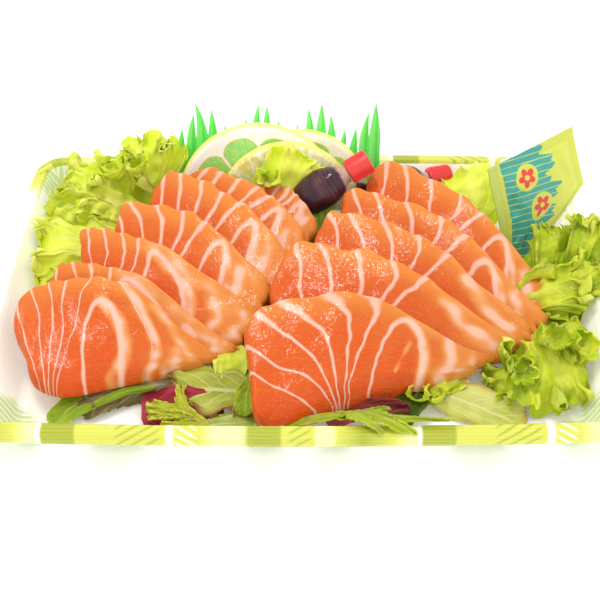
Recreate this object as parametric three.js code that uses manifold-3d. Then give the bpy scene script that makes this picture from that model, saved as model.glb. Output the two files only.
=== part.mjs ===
// Salmon sashimi in its takeaway tray: two fanned rows of sliced salmon on salad leaves, with
// lemon, a grass-shaped divider, two fish-shaped sauce bottles and a condiment sachet.
// Millimetres, +Z up. The origin is at the middle of the tray's underside, +Y towards its back.
import * as THREE from "three";
import { mergeVertices } from "three/addons/utils/BufferGeometryUtils.js";
import Module from "manifold-3d";

const wasm = await Module();
wasm.setup();

// Driving dimensions

const GAP = 0.35; // room kept between two pieces that lie against each other

const TRAY = {
  width: 218,
  depth: 153,
  height: 20,
  sheet: 1.2,
  cornerRadius: 12,
  bow: 1.8, // how far the middle of each side stands out past its corners
  flange: 5,
  lip: 4.5,
  wallRun: 7.5, // how far the wall leans in on its way down
};

// A fan of slices. Their heads lie along one curve and their tails along another, and each slice
// climbs from its level, the place on both curves where its underside meets the salad. top, head
// and tail are how far a slice reaches, droop is how much lower its upper edge ends at the head
// and at the tail, and slant is how much shorter its head is at the foot.
const LEFT_FAN = {
  heads: [[-88, -57], [-103, -12], [-88, 24], [-60, 52], [-16, 52]],
  tails: [[-44, -40], [-26, -32], [-10, -23], [4, -8], [15, 20]],
  step: 0.115,
  climb: 65,
  thickness: 6.8,
  base: 6.5,
  slices: [
    { top: 0.305, head: 0.985, tail: -0.08, droop: [0.07, 0.11], slant: 0 },
    { top: 0.38, head: 0.875, tail: -0.04, droop: [0.03, 0.09], slant: 0.12 },
    { top: 0.52, head: 0.915, tail: 0.03, droop: [0.03, 0], slant: 0.27 },
    { top: 0.675, head: 0.915, tail: 0.09, droop: [0.07, 0.02], slant: 0.33 },
    { top: 0.805, head: 0.955, tail: 0.12, droop: [0.02, 0], slant: 0.36 },
    { top: 0.897, head: 1, tail: 0.17, droop: [0.02, 0], slant: 0.3 },
    { top: 0.983, head: 0.82, tail: 0.2, droop: [0.05, 0], slant: 0.25 },
  ],
};
const RIGHT_FAN = {
  heads: [[-15, -69], [-20, -26], [-4, 13], [16, 42], [48, 62]],
  tails: [[52, -43], [65, -35], [77, -26], [89, -14], [99, 2]],
  step: 0.155,
  climb: 62,
  thickness: 7.2,
  base: 6.5,
  slices: [
    { top: 0.31, head: 0.98, tail: -0.05, droop: [0.05, 0.1], slant: 0 },
    { top: 0.487, head: 0.985, tail: -0.04, droop: [0.02, 0.06], slant: 0.13 },
    { top: 0.645, head: 0.965, tail: -0.03, droop: [0.02, 0.05], slant: 0.2 },
    { top: 0.787, head: 1.005, tail: -0.02, droop: [0.02, 0.07], slant: 0.24 },
    { top: 0.915, head: 1.09, tail: 0, droop: [0, 0.06], slant: 0.3 },
  ],
};

const SALMON = new THREE.Color(0.95, 0.42, 0.22);
const LETTUCE = new THREE.Color(0.68, 0.8, 0.2);
const LEMON_YELLOW = new THREE.Color(0.95, 0.88, 0.35);
const GRASS = new THREE.Color(0.2, 0.72, 0.3);
const SAUCE = new THREE.Color(0.2, 0.07, 0.09);
const CAP_RED = new THREE.Color(0.9, 0.13, 0.15);
const DARK_LEAF = new THREE.Color(0.3, 0.48, 0.12);
const RADICCHIO = new THREE.Color(0.42, 0.06, 0.16);
const SACHET_GREEN = new THREE.Color(0.6, 0.8, 0.42);

// Solids

const rad = THREE.MathUtils.degToRad;
const mix = THREE.MathUtils.lerp;
const vec = (x, y, z) => new THREE.Vector3(x, y, z);

function geometryOf(points, faces) {
  const geometry = new THREE.BufferGeometry();
  geometry.setAttribute("position", new THREE.Float32BufferAttribute(points.flat(), 3));
  geometry.setIndex(faces.flat());
  return geometry;
}

// A closed sheet: an upper and an under grid of points, split into triangles alike and
// stitched round the border. at(u, v, side) gives a point for u and v from 0 to 1.
function sheetGeometry(us, vs, at) {
  const points = [];
  for (const side of [0, 1])
    for (const v of vs) for (const u of us) points.push(at(u, v, side).toArray());
  const nu = us.length;
  const nv = vs.length;
  const id = (i, j, side) => side * nu * nv + j * nu + i;
  const faces = [];
  const quad = (a, b, c, d) => faces.push([a, b, c], [a, c, d]);
  for (let j = 0; j < nv - 1; j++)
    for (let i = 0; i < nu - 1; i++) {
      quad(id(i, j, 1), id(i + 1, j, 1), id(i + 1, j + 1, 1), id(i, j + 1, 1));
      faces.push([id(i, j, 0), id(i + 1, j + 1, 0), id(i + 1, j, 0)]);
      faces.push([id(i, j, 0), id(i, j + 1, 0), id(i + 1, j + 1, 0)]);
    }
  for (let i = 0; i < nu - 1; i++) {
    quad(id(i, 0, 0), id(i + 1, 0, 0), id(i + 1, 0, 1), id(i, 0, 1));
    quad(id(i + 1, nv - 1, 0), id(i, nv - 1, 0), id(i, nv - 1, 1), id(i + 1, nv - 1, 1));
  }
  for (let j = 0; j < nv - 1; j++) {
    quad(id(0, j + 1, 0), id(0, j, 0), id(0, j, 1), id(0, j + 1, 1));
    quad(id(nu - 1, j, 0), id(nu - 1, j + 1, 0), id(nu - 1, j + 1, 1), id(nu - 1, j, 1));
  }
  return geometryOf(points, faces);
}

const even = (count) => Array.from({ length: count + 1 }, (_, i) => i / count);

// The tray

// A rounded rectangle, set in from the rim's outer edge, as one ring of points.
const CORNER_STEPS = 6;
const SIDE_STEPS = 4;
function trayRing(inset, z) {
  const halfX = TRAY.width / 2 - inset;
  const halfY = TRAY.depth / 2 - inset;
  const r = Math.max(TRAY.cornerRadius - inset, 6);
  const ring = [];
  const corners = [[1, 1, 0], [-1, 1, 90], [-1, -1, 180], [1, -1, 270]];
  corners.forEach(([sx, sy, start], k) => {
    for (let i = 0; i <= CORNER_STEPS; i++) {
      const a = rad(start + (90 * i) / CORNER_STEPS);
      ring.push([sx * (halfX - r) + r * Math.cos(a), sy * (halfY - r) + r * Math.sin(a), z]);
    }
    const from = ring[ring.length - 1];
    const [nx, ny, next] = corners[(k + 1) % 4];
    const b = rad(next);
    const to = [nx * (halfX - r) + r * Math.cos(b), ny * (halfY - r) + r * Math.sin(b), z];
    for (let i = 1; i < SIDE_STEPS; i++) {
      const t = i / SIDE_STEPS;
      const out = TRAY.bow * (1 - (2 * t - 1) ** 2);
      ring.push([
        mix(from[0], to[0], t) + out * Math.cos(b),
        mix(from[1], to[1], t) + out * Math.sin(b),
        z,
      ]);
    }
  });
  return ring;
}

function trayGeometry() {
  const { height, sheet, flange, lip, wallRun } = TRAY;
  const foot = flange + wallRun;
  const profile = [
    [foot + 1.5, sheet],
    [foot - 0.4, sheet + 1],
    [flange + 0.6, height - 1],
    [flange - 0.4, height],
    [1.4, height],
    [0.3, height - 0.8],
    [0, height - lip],
    [sheet, height - lip],
    [1.6, height - sheet - 0.4],
    [flange + 0.2, height - sheet - 0.4],
    [foot + 0.4, 0.8],
    [foot + 2, 0],
  ];
  const rings = profile.map(([inset, z]) => trayRing(inset, z));
  const n = rings[0].length;
  const points = rings.flat();
  const faces = [];
  for (let k = 0; k < rings.length - 1; k++)
    for (let i = 0; i < n; i++) {
      const j = (i + 1) % n;
      faces.push([k * n + i, (k + 1) * n + i, (k + 1) * n + j]);
      faces.push([k * n + i, (k + 1) * n + j, k * n + j]);
    }
  const floorTop = points.push([0, 0, sheet]) - 1;
  const floorUnder = points.push([0, 0, 0]) - 1;
  const last = (rings.length - 1) * n;
  for (let i = 0; i < n; i++) {
    const j = (i + 1) % n;
    faces.push([floorTop, i, j]);
    faces.push([floorUnder, last + j, last + i]);
  }
  return geometryOf(points, faces);
}

// The salmon

const EDGE_BEVEL = 0.3; // share of a slice's thickness that its rounded edges lose on each face
const SLICE_US = [0, 0.04, 0.14, 0.28, 0.42, 0.56, 0.7, 0.84, 0.95, 1];
const SLICE_VS = [0, 0.08, 0.32, 0.68, 0.92, 1];
const SLICE_POWER = 4.5; // how square a slice's outline is
const SLICE_FOOT = 0.02; // how far above its level a slice starts
const LEAF_POWER = 2.6;

// A unit square with its corners drawn in to a smooth outline: the lower the power, the rounder.
function squircle(u, v, power) {
  const x = 2 * u - 1;
  const y = 2 * v - 1;
  const reach = Math.max(Math.abs(x), Math.abs(y));
  const round = (Math.abs(x) ** power + Math.abs(y) ** power) ** (1 / power);
  const keep = reach > 0 ? 1 - (1 - reach / round) * reach * reach : 1;
  return [(x * keep + 1) / 2, (y * keep + 1) / 2];
}

// Slices thin out and sink towards their tails, which lie close together.
const sinkAt = (s) => mix(0.45, 1, THREE.MathUtils.smoothstep(s, -0.1, 0.6));

function sliceGeometry(fan, k) {
  const { top, head, tail, droop, slant } = fan.slices[k];
  const { smoothstep } = THREE.MathUtils;
  const level = k * fan.step;
  const heads = new THREE.SplineCurve(fan.heads.map((p) => new THREE.Vector2(...p)));
  const tails = new THREE.SplineCurve(fan.tails.map((p) => new THREE.Vector2(...p)));
  return sheetGeometry(SLICE_US, SLICE_VS, (u, v, side) => {
    const [x, y] = squircle(u, v, SLICE_POWER);
    const s = mix(head - slant * (1 - y), tail, x);
    const lowered = droop[0] * smoothstep(s, 0.5, 1.05) + droop[1] * smoothstep(-s, -0.5, 0.1);
    const turn = mix(level + SLICE_FOOT, top - lowered, y);
    const onEdge = u === 0 || u === 1 || v === 0 || v === 1;
    const bevel = onEdge ? EDGE_BEVEL : 0;
    const lift = fan.thickness * (side ? 1 - bevel : bevel);
    const climb = (turn - level) * fan.climb + lift;
    const at = tails.getPoint(turn).lerp(heads.getPoint(turn), s);
    return vec(at.x, at.y, fan.base + climb * sinkAt(s));
  });
}

// Lemon, divider, sauce bottles and sachet

const LEMON = { thickness: 4, bevel: 0.7, lean: 16, foot: 12 };

// Half a round slice, standing on its cut edge and leaning back.
function lemonGeometry(radius, x, y) {
  const { thickness, bevel, lean, foot } = LEMON;
  const outline = new THREE.Shape();
  outline.absarc(0, 0, radius - bevel, 0, Math.PI, false);
  outline.closePath();
  const geometry = new THREE.ExtrudeGeometry(outline, {
    depth: thickness - 2 * bevel,
    bevelEnabled: true,
    bevelThickness: bevel,
    bevelSize: bevel,
    bevelSegments: 1,
    curveSegments: 14,
  });
  geometry.translate(0, 0, bevel - thickness / 2);
  geometry.rotateX(rad(90 - lean));
  geometry.translate(x, y, foot);
  return geometry;
}

const DIVIDER = {
  left: -50.5,
  width: 83,
  foot: 2.5,
  footY: 62.5,
  lean: 12,
  sheet: 0.5,
  blades: 19,
  lowTip: 37,
  highTip: 48.5,
  slit: 14,
  hills: 3.57,
  firstHill: 0.139,
  pleat: 0.7,
};

// A pleated strip whose upper edge is cut into grass blades that rise and fall in hills.
function dividerGeometry() {
  const d = DIVIDER;
  const tipAt = (u) => {
    const hill = 0.5 + 0.5 * Math.cos(2 * Math.PI * d.hills * (u - d.firstHill));
    return mix(d.lowTip, d.highTip, hill);
  };
  return sheetGeometry(even(2 * d.blades), [0, 0.6, 1], (u, v, side) => {
    const isTip = Math.round(u * 2 * d.blades) % 2 === 1;
    const shoulder = tipAt(u) - d.slit;
    const top = isTip ? tipAt(u) : shoulder;
    const up = v < 1 ? mix(d.foot, shoulder - 2, v / 0.6) : top;
    const fold = (isTip ? -1 : 1) * d.pleat * (v === 0 ? 0.4 : 1);
    const depth = fold + (side ? -d.sheet / 2 : d.sheet / 2);
    return vec(d.left + d.width * u, d.footY + up * Math.tan(rad(d.lean)) + depth, up);
  });
}

// Rings of points round a straight axis along +X, closed by a point at each end.
// Each section is [distance along the axis, half height, half thickness].
function loftGeometry(sections, sides) {
  const points = [];
  sections.forEach(([x, high, thick]) => {
    for (let i = 0; i < sides; i++) {
      const a = (2 * Math.PI * i) / sides;
      points.push([x, thick * Math.cos(a), high * Math.sin(a)]);
    }
  });
  const last = (sections.length - 1) * sides;
  const start = points.push([sections[0][0], 0, 0]) - 1;
  const end = points.push([sections[sections.length - 1][0], 0, 0]) - 1;
  const faces = [];
  for (let i = 0; i < sides; i++) {
    const j = (i + 1) % sides;
    for (let k = 0; k < last; k += sides) {
      faces.push([k + i, k + j, k + sides + j], [k + i, k + sides + j, k + sides + i]);
    }
    faces.push([start, j, i], [end, last + i, last + j]);
  }
  return geometryOf(points, faces);
}

const BOTTLE = { neck: 3.3, capRadius: 5, capLength: 9.5, bodyLength: 30 };
const FISH_SECTIONS = [
  [0, 3.8, 0.9],
  [2, 3.5, 1.2],
  [5, 2.6, 1.8],
  [9, 6, 4],
  [15, 7.7, 5.5],
  [20.5, 7.7, 5.6],
  [25, 6.2, 5.2],
  [27.5, 4.2, 4.2],
  [28.5, BOTTLE.neck, BOTTLE.neck],
  [BOTTLE.bodyLength, BOTTLE.neck, BOTTLE.neck],
];

// Places a shape that was made along +X from one point towards another, turned about that axis.
function laidAlong(geometry, from, to, roll) {
  const ahead = to.clone().sub(from).normalize();
  const side = vec(0, 0, 1).cross(ahead).normalize();
  const up = ahead.clone().cross(side);
  geometry.rotateX(rad(roll));
  geometry.applyMatrix4(new THREE.Matrix4().makeBasis(ahead, side, up).setPosition(from));
  return geometry;
}

function bottleGeometries(tail, aim, roll) {
  const body = laidAlong(loftGeometry(FISH_SECTIONS, 14), tail, aim, roll);
  const from = BOTTLE.bodyLength + GAP;
  const to = from + BOTTLE.capLength;
  const { capRadius } = BOTTLE;
  const capSections = [
    [from, capRadius - 0.5, capRadius - 0.5],
    [from + 0.6, capRadius, capRadius],
    [to - 0.8, capRadius, capRadius],
    [to, capRadius - 0.8, capRadius - 0.8],
  ];
  const cap = laidAlong(loftGeometry(capSections, 18), tail, aim, roll);
  return [body, cap];
}

const SACHET = {
  corner: [70.1, 32.8, 43.9],
  across: [0.839, 0.535, 0.095],
  down: [0.25, -0.27, -0.93],
  width: 42,
  length: 27,
  seal: 4,
  bulge: 4.2,
  sheet: 0.7,
};

// A flat packet with pressed seals round its border and a filled middle.
function sachetGeometry() {
  const { corner, across, down, width, length, seal, bulge, sheet } = SACHET;
  const e1 = vec(...across).normalize();
  const normal = vec(...down).cross(e1).normalize();
  const e2 = e1.clone().cross(normal).normalize();
  const swell = (x, y) => {
    const near = Math.min(x, width - x, y, length - y) - seal;
    return near <= 0 ? 0 : Math.sqrt(Math.min(1, near / 9));
  };
  const stops = (size) => {
    const inner = [seal, seal + 2, seal + 6, size - seal - 6, size - seal - 2, size - seal];
    return [0, ...inner, size].map((x) => x / size);
  };
  return sheetGeometry(stops(width), stops(length), (u, v, side) => {
    const x = u * width;
    const y = v * length;
    const half = (sheet + bulge * swell(x, y)) / 2;
    const at = vec(...corner).addScaledVector(e1, x).addScaledVector(e2, y);
    return at.addScaledVector(normal, side ? -half : half);
  });
}

// Salad leaves

// A leaf: a thin sheet along a curved midrib. Its pleats fan out from the base and grow into
// ruffles at the margin. face is the way the upper side looks.
function leafGeometry({ midrib, face, width, taper, ruffle, waves, grid, cup = 0, sheet = 1 }) {
  const curve = new THREE.CatmullRomCurve3(midrib.map((p) => vec(...p)));
  const look = vec(...face).normalize();
  const [columns, rows] = grid;
  return sheetGeometry(even(columns), even(rows), (u, v, side) => {
    const [along, over] = squircle(u, v, LEAF_POWER);
    const across = 2 * over - 1;
    const ahead = curve.getTangent(along);
    const left = look.clone().cross(ahead).normalize();
    const up = ahead.clone().cross(left);
    const half = (width / 2) * mix(taper[0], taper[1], Math.sqrt(along));
    const margin = Math.max(Math.abs(across), THREE.MathUtils.smoothstep(along, 0.55, 1));
    const turn = Math.atan2(across, 0.25 + along);
    const wave = ruffle * margin ** 1.6 * Math.sin(waves * turn * 2 + waves);
    const rise = wave + cup * across * across + (side ? sheet / 2 : -sheet / 2);
    return curve.getPoint(along).addScaledVector(left, across * half).addScaledVector(up, rise);
  });
}

// A low heap of leaf that the leaves that show grow out of.
function moundGeometry(centre, radii) {
  const geometry = new THREE.SphereGeometry(1, 12, 7);
  geometry.scale(...radii);
  geometry.translate(...centre);
  return geometry;
}

// Joining and cutting

function solidOf(geometry) {
  const bare = geometry.clone();
  for (const name of Object.keys(bare.attributes)) {
    if (name !== "position") bare.deleteAttribute(name);
  }
  const welded = mergeVertices(bare, 1e-3);
  return new wasm.Manifold(
    new wasm.Mesh({
      numProp: 3,
      vertProperties: new Float32Array(welded.attributes.position.array),
      triVerts: new Uint32Array(welded.index.array),
    }),
  );
}

function geometryFrom(solid) {
  const mesh = solid.getMesh();
  const geometry = new THREE.BufferGeometry();
  const positions = new Float32Array(mesh.vertProperties);
  geometry.setAttribute("position", new THREE.BufferAttribute(positions, 3));
  geometry.setIndex(new THREE.BufferAttribute(new Uint32Array(mesh.triVerts), 1));
  return geometry;
}

const fused = (geometries) =>
  geometries.map(solidOf).reduce((whole, solid) => whole.add(solid));

// A piece and the room kept round it.
function withRoom(geometry) {
  const solid = solidOf(geometry);
  const shifts = [[1, 0, 0], [-1, 0, 0], [0, 1, 0], [0, -1, 0], [0, 0, 1], [0, 0, -1]];
  return shifts.reduce(
    (whole, shift) => whole.add(solid.translate(shift.map((d) => d * GAP))),
    solid,
  );
}

// What is left of a solid clear of its neighbours, without the loose scraps.
function clearOf(solid, neighbours) {
  const cut = neighbours.reduce((rest, room) => rest.subtract(room), solid);
  const bodies = cut.decompose();
  return bodies.reduce((best, body) => (body.volume() > best.volume() ? body : best));
}

// The finished part

const part = new THREE.Group();
part.name = "salmon_sashimi_tray";

function addPiece(name, geometry, color, roughness = 0.5) {
  const material = new THREE.MeshStandardMaterial({ color, roughness, metalness: 0 });
  const mesh = new THREE.Mesh(geometry, material);
  mesh.name = name;
  part.add(mesh);
  return mesh;
}

addPiece("tray", trayGeometry(), new THREE.Color(0.85, 0.9, 0.45), 0.35);
LEFT_FAN.slices.forEach((_, k) => {
  addPiece(`salmon_left_${k + 1}`, sliceGeometry(LEFT_FAN, k), SALMON);
});
RIGHT_FAN.slices.forEach((_, k) => {
  addPiece(`salmon_right_${k + 1}`, sliceGeometry(RIGHT_FAN, k), SALMON);
});

addPiece("lemon_front", lemonGeometry(28, -5, 50.5), LEMON_YELLOW);
addPiece("lemon_middle", lemonGeometry(33, -16.5, 55), LEMON_YELLOW);
addPiece("lemon_back", lemonGeometry(28, 0, 59.5), LEMON_YELLOW);
addPiece("divider", dividerGeometry(), GRASS);
const bottles = [
  bottleGeometries(vec(-7.1, 36.9, 19.8), vec(22.8, 47.6, 34.5), -54),
  bottleGeometries(vec(23, 54.9, 17.2), vec(56.8, 63.9, 17.5), -21),
];
bottles.forEach(([body, cap], k) => {
  addPiece(`sauce_bottle_${k + 1}`, body, SAUCE, 0.2);
  addPiece(`bottle_cap_${k + 1}`, cap, CAP_RED, 0.35);
});
addPiece("sachet", sachetGeometry(), SACHET_GREEN, 0.3);

// Heaps of lettuce fill in round the pieces placed so far, and single leaves round the heaps.
const rooms = part.children.map((mesh) => withRoom(mesh.geometry));

function addLeaves(name, geometries, color) {
  const geometry = geometryFrom(clearOf(fused(geometries), rooms));
  rooms.push(withRoom(geometry));
  addPiece(name, geometry, color, 0.55);
}

const BIG_LEAF = { grid: [9, 7], taper: [0.45, 1], ruffle: 3.5, waves: 5, cup: -2 };
const SMALL_LEAF = { grid: [8, 4], taper: [0.5, 0.8], ruffle: 1.2, waves: 2 };
const FLAT_LEAF = { grid: [6, 4], taper: [0.7, 0.9], ruffle: 0.4, waves: 2 };

addLeaves("salad_bed", [moundGeometry([6, 2, 3.8], [84, 50, 2.1])], LETTUCE);
addLeaves(
  "lettuce_left",
  [
    moundGeometry([-78, 38, 7.5], [24, 30, 5.6]),
    leafGeometry({
      ...BIG_LEAF,
      midrib: [[-62, 28, 8], [-84, 27, 15], [-103, 27, 18]],
      face: [0, 0, 1],
      width: 46,
    }),
    leafGeometry({
      ...BIG_LEAF,
      midrib: [[-62, 46, 10], [-78, 54, 23], [-94, 62, 24]],
      face: [0, 0, 1],
      width: 36,
    }),
    leafGeometry({
      ...BIG_LEAF,
      midrib: [[-66, 54, 8], [-58, 60, 23], [-57, 63, 38]],
      face: [0.2, -1, 0.4],
      width: 26,
    }),
  ],
  LETTUCE,
);
addLeaves(
  "lettuce_right",
  [
    moundGeometry([88, -14, 7.5], [16, 40, 5.6]),
    leafGeometry({
      ...BIG_LEAF,
      midrib: [[86, -2, 10], [96, 9, 23], [103, 19, 32]],
      face: [-0.4, -0.5, 1],
      width: 27,
    }),
    leafGeometry({
      ...BIG_LEAF,
      midrib: [[80, -10, 9], [92, -9, 19], [103, -8, 23]],
      face: [0, -0.3, 1],
      width: 26,
    }),
    leafGeometry({
      ...BIG_LEAF,
      midrib: [[80, -22, 9], [86, -36, 15], [93, -56, 8]],
      face: [0, -0.3, 1],
      width: 40,
    }),
    leafGeometry({
      ...SMALL_LEAF,
      midrib: [[84, -30, 9], [72, -38, 11], [62, -36, 11]],
      face: [0, -0.3, 1],
      width: 18,
    }),
  ],
  LETTUCE,
);
addLeaves(
  "lettuce_back",
  [
    leafGeometry({
      ...BIG_LEAF,
      midrib: [[-6, 43, 10], [-6, 46, 25], [-4, 51, 40]],
      face: [0, -1, 0.4],
      width: 32,
      ruffle: 1.6,
    }),
  ],
  LETTUCE,
);
addLeaves(
  "lettuce_rear",
  [
    leafGeometry({
      ...BIG_LEAF,
      midrib: [[66, 40, 8], [68, 50, 19], [66, 62, 24]],
      face: [-0.2, -0.6, 1],
      width: 26,
      ruffle: 1.6,
    }),
  ],
  LETTUCE,
);
addLeaves(
  "lettuce_middle",
  [
    leafGeometry({
      ...SMALL_LEAF,
      midrib: [[-27, -24, 5], [-25, -33, 12], [-24, -42, 8]],
      face: [0, -0.4, 1],
      width: 14,
    }),
  ],
  LETTUCE,
);
addLeaves(
  "baby_leaf",
  [
    leafGeometry({
      ...SMALL_LEAF,
      midrib: [[-38, -42, 5], [-60, -48, 5], [-83, -57, 3]],
      face: [0, -0.5, 1],
      width: 15,
    }),
  ],
  DARK_LEAF,
);
addLeaves(
  "oak_leaf",
  [
    leafGeometry({
      ...SMALL_LEAF,
      midrib: [[-12, -46, 6], [-28, -46, 8], [-45, -45, 8]],
      face: [0, -0.3, 1],
      width: 20,
    }),
  ],
  DARK_LEAF,
);
addLeaves(
  "radicchio",
  [
    leafGeometry({
      ...FLAT_LEAF,
      midrib: [[-52, -52, 3.5], [-40, -53, 5], [-28, -53, 4]],
      face: [0, -0.3, 1],
      width: 16,
    }),
  ],
  RADICCHIO,
);
addLeaves(
  "frisee",
  [
    leafGeometry({
      ...FLAT_LEAF,
      midrib: [[-50, -50, 8], [-42, -54, 7.5], [-33, -58, 6]],
      face: [0, -0.3, 1],
      width: 8,
    }),
  ],
  LETTUCE,
);
addLeaves(
  "lettuce_stem",
  [
    leafGeometry({
      ...FLAT_LEAF,
      midrib: [[-33, -60, 3.4], [-25, -59, 4], [-17, -58, 3.4]],
      face: [0, -0.3, 1],
      width: 7,
      sheet: 2,
    }),
  ],
  LETTUCE,
);
addLeaves(
  "purple_leaf",
  [
    leafGeometry({
      ...FLAT_LEAF,
      midrib: [[11, -57, 5], [24, -55, 6], [37, -50, 6]],
      face: [0, -0.4, 1],
      width: 9,
    }),
  ],
  RADICCHIO,
);
addLeaves(
  "dark_leaf",
  [
    leafGeometry({
      ...FLAT_LEAF,
      midrib: [[30, -60, 3], [36, -52, 5], [41, -44, 5.5]],
      face: [0, -0.3, 1],
      width: 11,
    }),
  ],
  DARK_LEAF,
);
addLeaves(
  "mizuna",
  [
    leafGeometry({
      ...FLAT_LEAF,
      midrib: [[4, -60, 7], [18, -67, 17], [32, -73, 21.5], [46, -74, 21.5]],
      face: [0, -0.3, 1],
      width: 9,
    }),
  ],
  DARK_LEAF,
);
addLeaves(
  "lettuce_flat",
  [
    leafGeometry({
      ...FLAT_LEAF,
      midrib: [[46, -45, 5], [60, -50, 4], [74, -58, 2.6]],
      face: [0, -0.2, 1],
      width: 16,
    }),
  ],
  LETTUCE,
);

addLeaves(
  "lettuce_frill",
  [
    leafGeometry({
      ...SMALL_LEAF,
      midrib: [[50, -42, 7], [43, -45, 8], [36, -48, 7.5]],
      face: [0, -0.3, 1],
      width: 9,
    }),
  ],
  LETTUCE,
);

export default part;
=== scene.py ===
# %% [markdown]
# # Salmon sashimi in its takeaway tray
# Two fans of sliced salmon lie on salad leaves in a printed tray, with lemon, a grass-shaped
# divider, two fish-shaped sauce bottles and a sachet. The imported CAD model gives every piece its
# place and rough form. This lesson gives each piece its real surface and finish.

# %% Load the frame
import math

import bpy
import numpy as np
from mathutils import Matrix, Vector


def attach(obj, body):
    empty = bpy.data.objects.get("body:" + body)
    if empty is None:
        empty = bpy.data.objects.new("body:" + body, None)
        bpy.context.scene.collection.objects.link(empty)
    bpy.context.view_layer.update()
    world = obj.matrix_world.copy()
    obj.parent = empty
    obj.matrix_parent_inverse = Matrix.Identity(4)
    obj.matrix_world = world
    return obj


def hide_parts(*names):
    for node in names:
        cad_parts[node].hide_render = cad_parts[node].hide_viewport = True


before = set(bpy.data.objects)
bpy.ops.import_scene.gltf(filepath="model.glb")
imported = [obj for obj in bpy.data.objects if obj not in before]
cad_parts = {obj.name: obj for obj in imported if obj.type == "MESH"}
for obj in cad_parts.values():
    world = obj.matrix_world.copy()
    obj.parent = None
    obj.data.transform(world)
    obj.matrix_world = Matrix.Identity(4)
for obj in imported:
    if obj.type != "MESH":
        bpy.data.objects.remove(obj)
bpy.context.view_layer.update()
MM = 0.001  # the sizes below are in millimetres, and Blender's are in metres
print("The frame holds", len(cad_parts), "nodes")

# %% [markdown]
# ## Camera and studio
# The tray is seen from the front and from 42 degrees above, almost filling the picture, in a white
# studio. A long lens keeps the sides nearly parallel. A white world and a floor that glows a little
# leave hardly a shadow, as in a menu picture. Two small lamps overhead put sparks on the wet fish,
# and a large one fills the front. The Standard view keeps orange and green as strong as painted.

# %% Camera
CAMERA_PLACE = Vector((0, -310.2, 286.9)) * MM
CAMERA_TILT = math.radians(48)  # up from looking straight down
LENS = 67

bpy.ops.object.select_all(action="DESELECT")
bpy.ops.object.camera_add(location=CAMERA_PLACE, rotation=(CAMERA_TILT, 0, 0))
camera = bpy.context.object
camera.data.lens = LENS
bpy.context.scene.camera = camera
bpy.context.scene.view_settings.view_transform = "Standard"
print("Camera at", tuple(round(c, 3) for c in camera.location))

# %% Floor, lamps and world
FLOOR_SIZE = 4
WHITE = (1, 1, 1, 1)
FLOOR_LOOK = {
    "Base Color": (0.95, 0.95, 0.94, 1),
    "Roughness": 0.9,
    "Emission Color": WHITE,
    "Emission Strength": 0.2,
}
LAMP_TARGET = Vector((0, 0, 0.01))
LAMPS = {  # place, size and power
    "overhead_softbox": ((-0.14, 0.1, 0.8), 0.07, 1.5),
    "overhead_spark": ((-0.16, -0.06, 0.8), 0.06, 0.8),
    "front_fill": ((0.25, -0.7, 0.6), 0.8, 0.8),
}
WORLD_LOOK = {"Color": WHITE, "Strength": 1.08}


def set_sockets(node, values):
    for key, value in values.items():
        node.inputs[key].default_value = value


bpy.ops.mesh.primitive_plane_add(size=FLOOR_SIZE)
floor = bpy.context.object
floor.name = "studio_floor"
paper = bpy.data.materials.new("white_paper")
paper.use_nodes = True
set_sockets(paper.node_tree.nodes["Principled BSDF"], FLOOR_LOOK)
floor.data.materials.append(paper)
for name, (place, size, power) in LAMPS.items():
    turn = (LAMP_TARGET - Vector(place)).to_track_quat("-Z", "Y").to_euler()
    bpy.ops.object.light_add(type="AREA", location=place, rotation=turn)
    lamp = bpy.context.object
    lamp.name = name
    lamp.data.size = size
    lamp.data.energy = power
world = bpy.data.worlds.new("white_studio")
world.use_nodes = True
set_sockets(world.node_tree.nodes["Background"], WORLD_LOOK)
bpy.context.scene.world = world
print("The studio has", len(LAMPS), "lamps")

# %% [markdown]
# ## Small tools
# Most of this food is sheets and slabs that lie along curves. So a piece starts as a flat grid,
# gets an underside by an extrude, and is then laid in place by moving its points with a formula.
# The first helpers do the arithmetic: a smooth blend, a curve through points, a square with rounded
# corners, and a gentle seeded noise. The others do what a hand would do in the window: select, add
# a grid, extrude it, apply a modifier, join pieces, and tie a piece to the frame.


# %% Shaping helpers
def mix(a, b, t):
    return a + (b - a) * t


def smoothstep(x, low, high):
    t = np.clip((x - low) / (high - low), 0, 1)
    return t * t * (3 - 2 * t)


def unit(vectors):
    return vectors / np.linalg.norm(vectors, axis=-1, keepdims=True)


def along_curve(points, t):
    """Places at t, from 0 to 1, on a smooth curve through some points."""
    p = np.asarray(points, float)
    place = np.clip(t, 0, 1) * (len(p) - 1)
    i = np.minimum(place.astype(int), len(p) - 2)
    f = (place - i)[..., None]
    before, start, end = p[np.maximum(i - 1, 0)], p[i], p[i + 1]
    after = p[np.minimum(i + 2, len(p) - 1)]
    leave, arrive = (end - before) / 2, (after - start) / 2
    cubic = 2 * start - 2 * end + leave + arrive
    square = 3 * end - 3 * start - 2 * leave - arrive
    return cubic * f**3 + square * f**2 + leave * f + start


def squircle(u, v, power):
    """A unit square with its corners drawn in. A low power makes it rounder."""
    x, y = 2 * u - 1, 2 * v - 1
    reach = np.maximum(abs(x), abs(y))
    outline = np.maximum((abs(x) ** power + abs(y) ** power) ** (1 / power), 1e-9)
    keep = 1 - (1 - np.where(reach > 0, reach / outline, 1)) * reach**2
    return (x * keep + 1) / 2, (y * keep + 1) / 2


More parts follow.
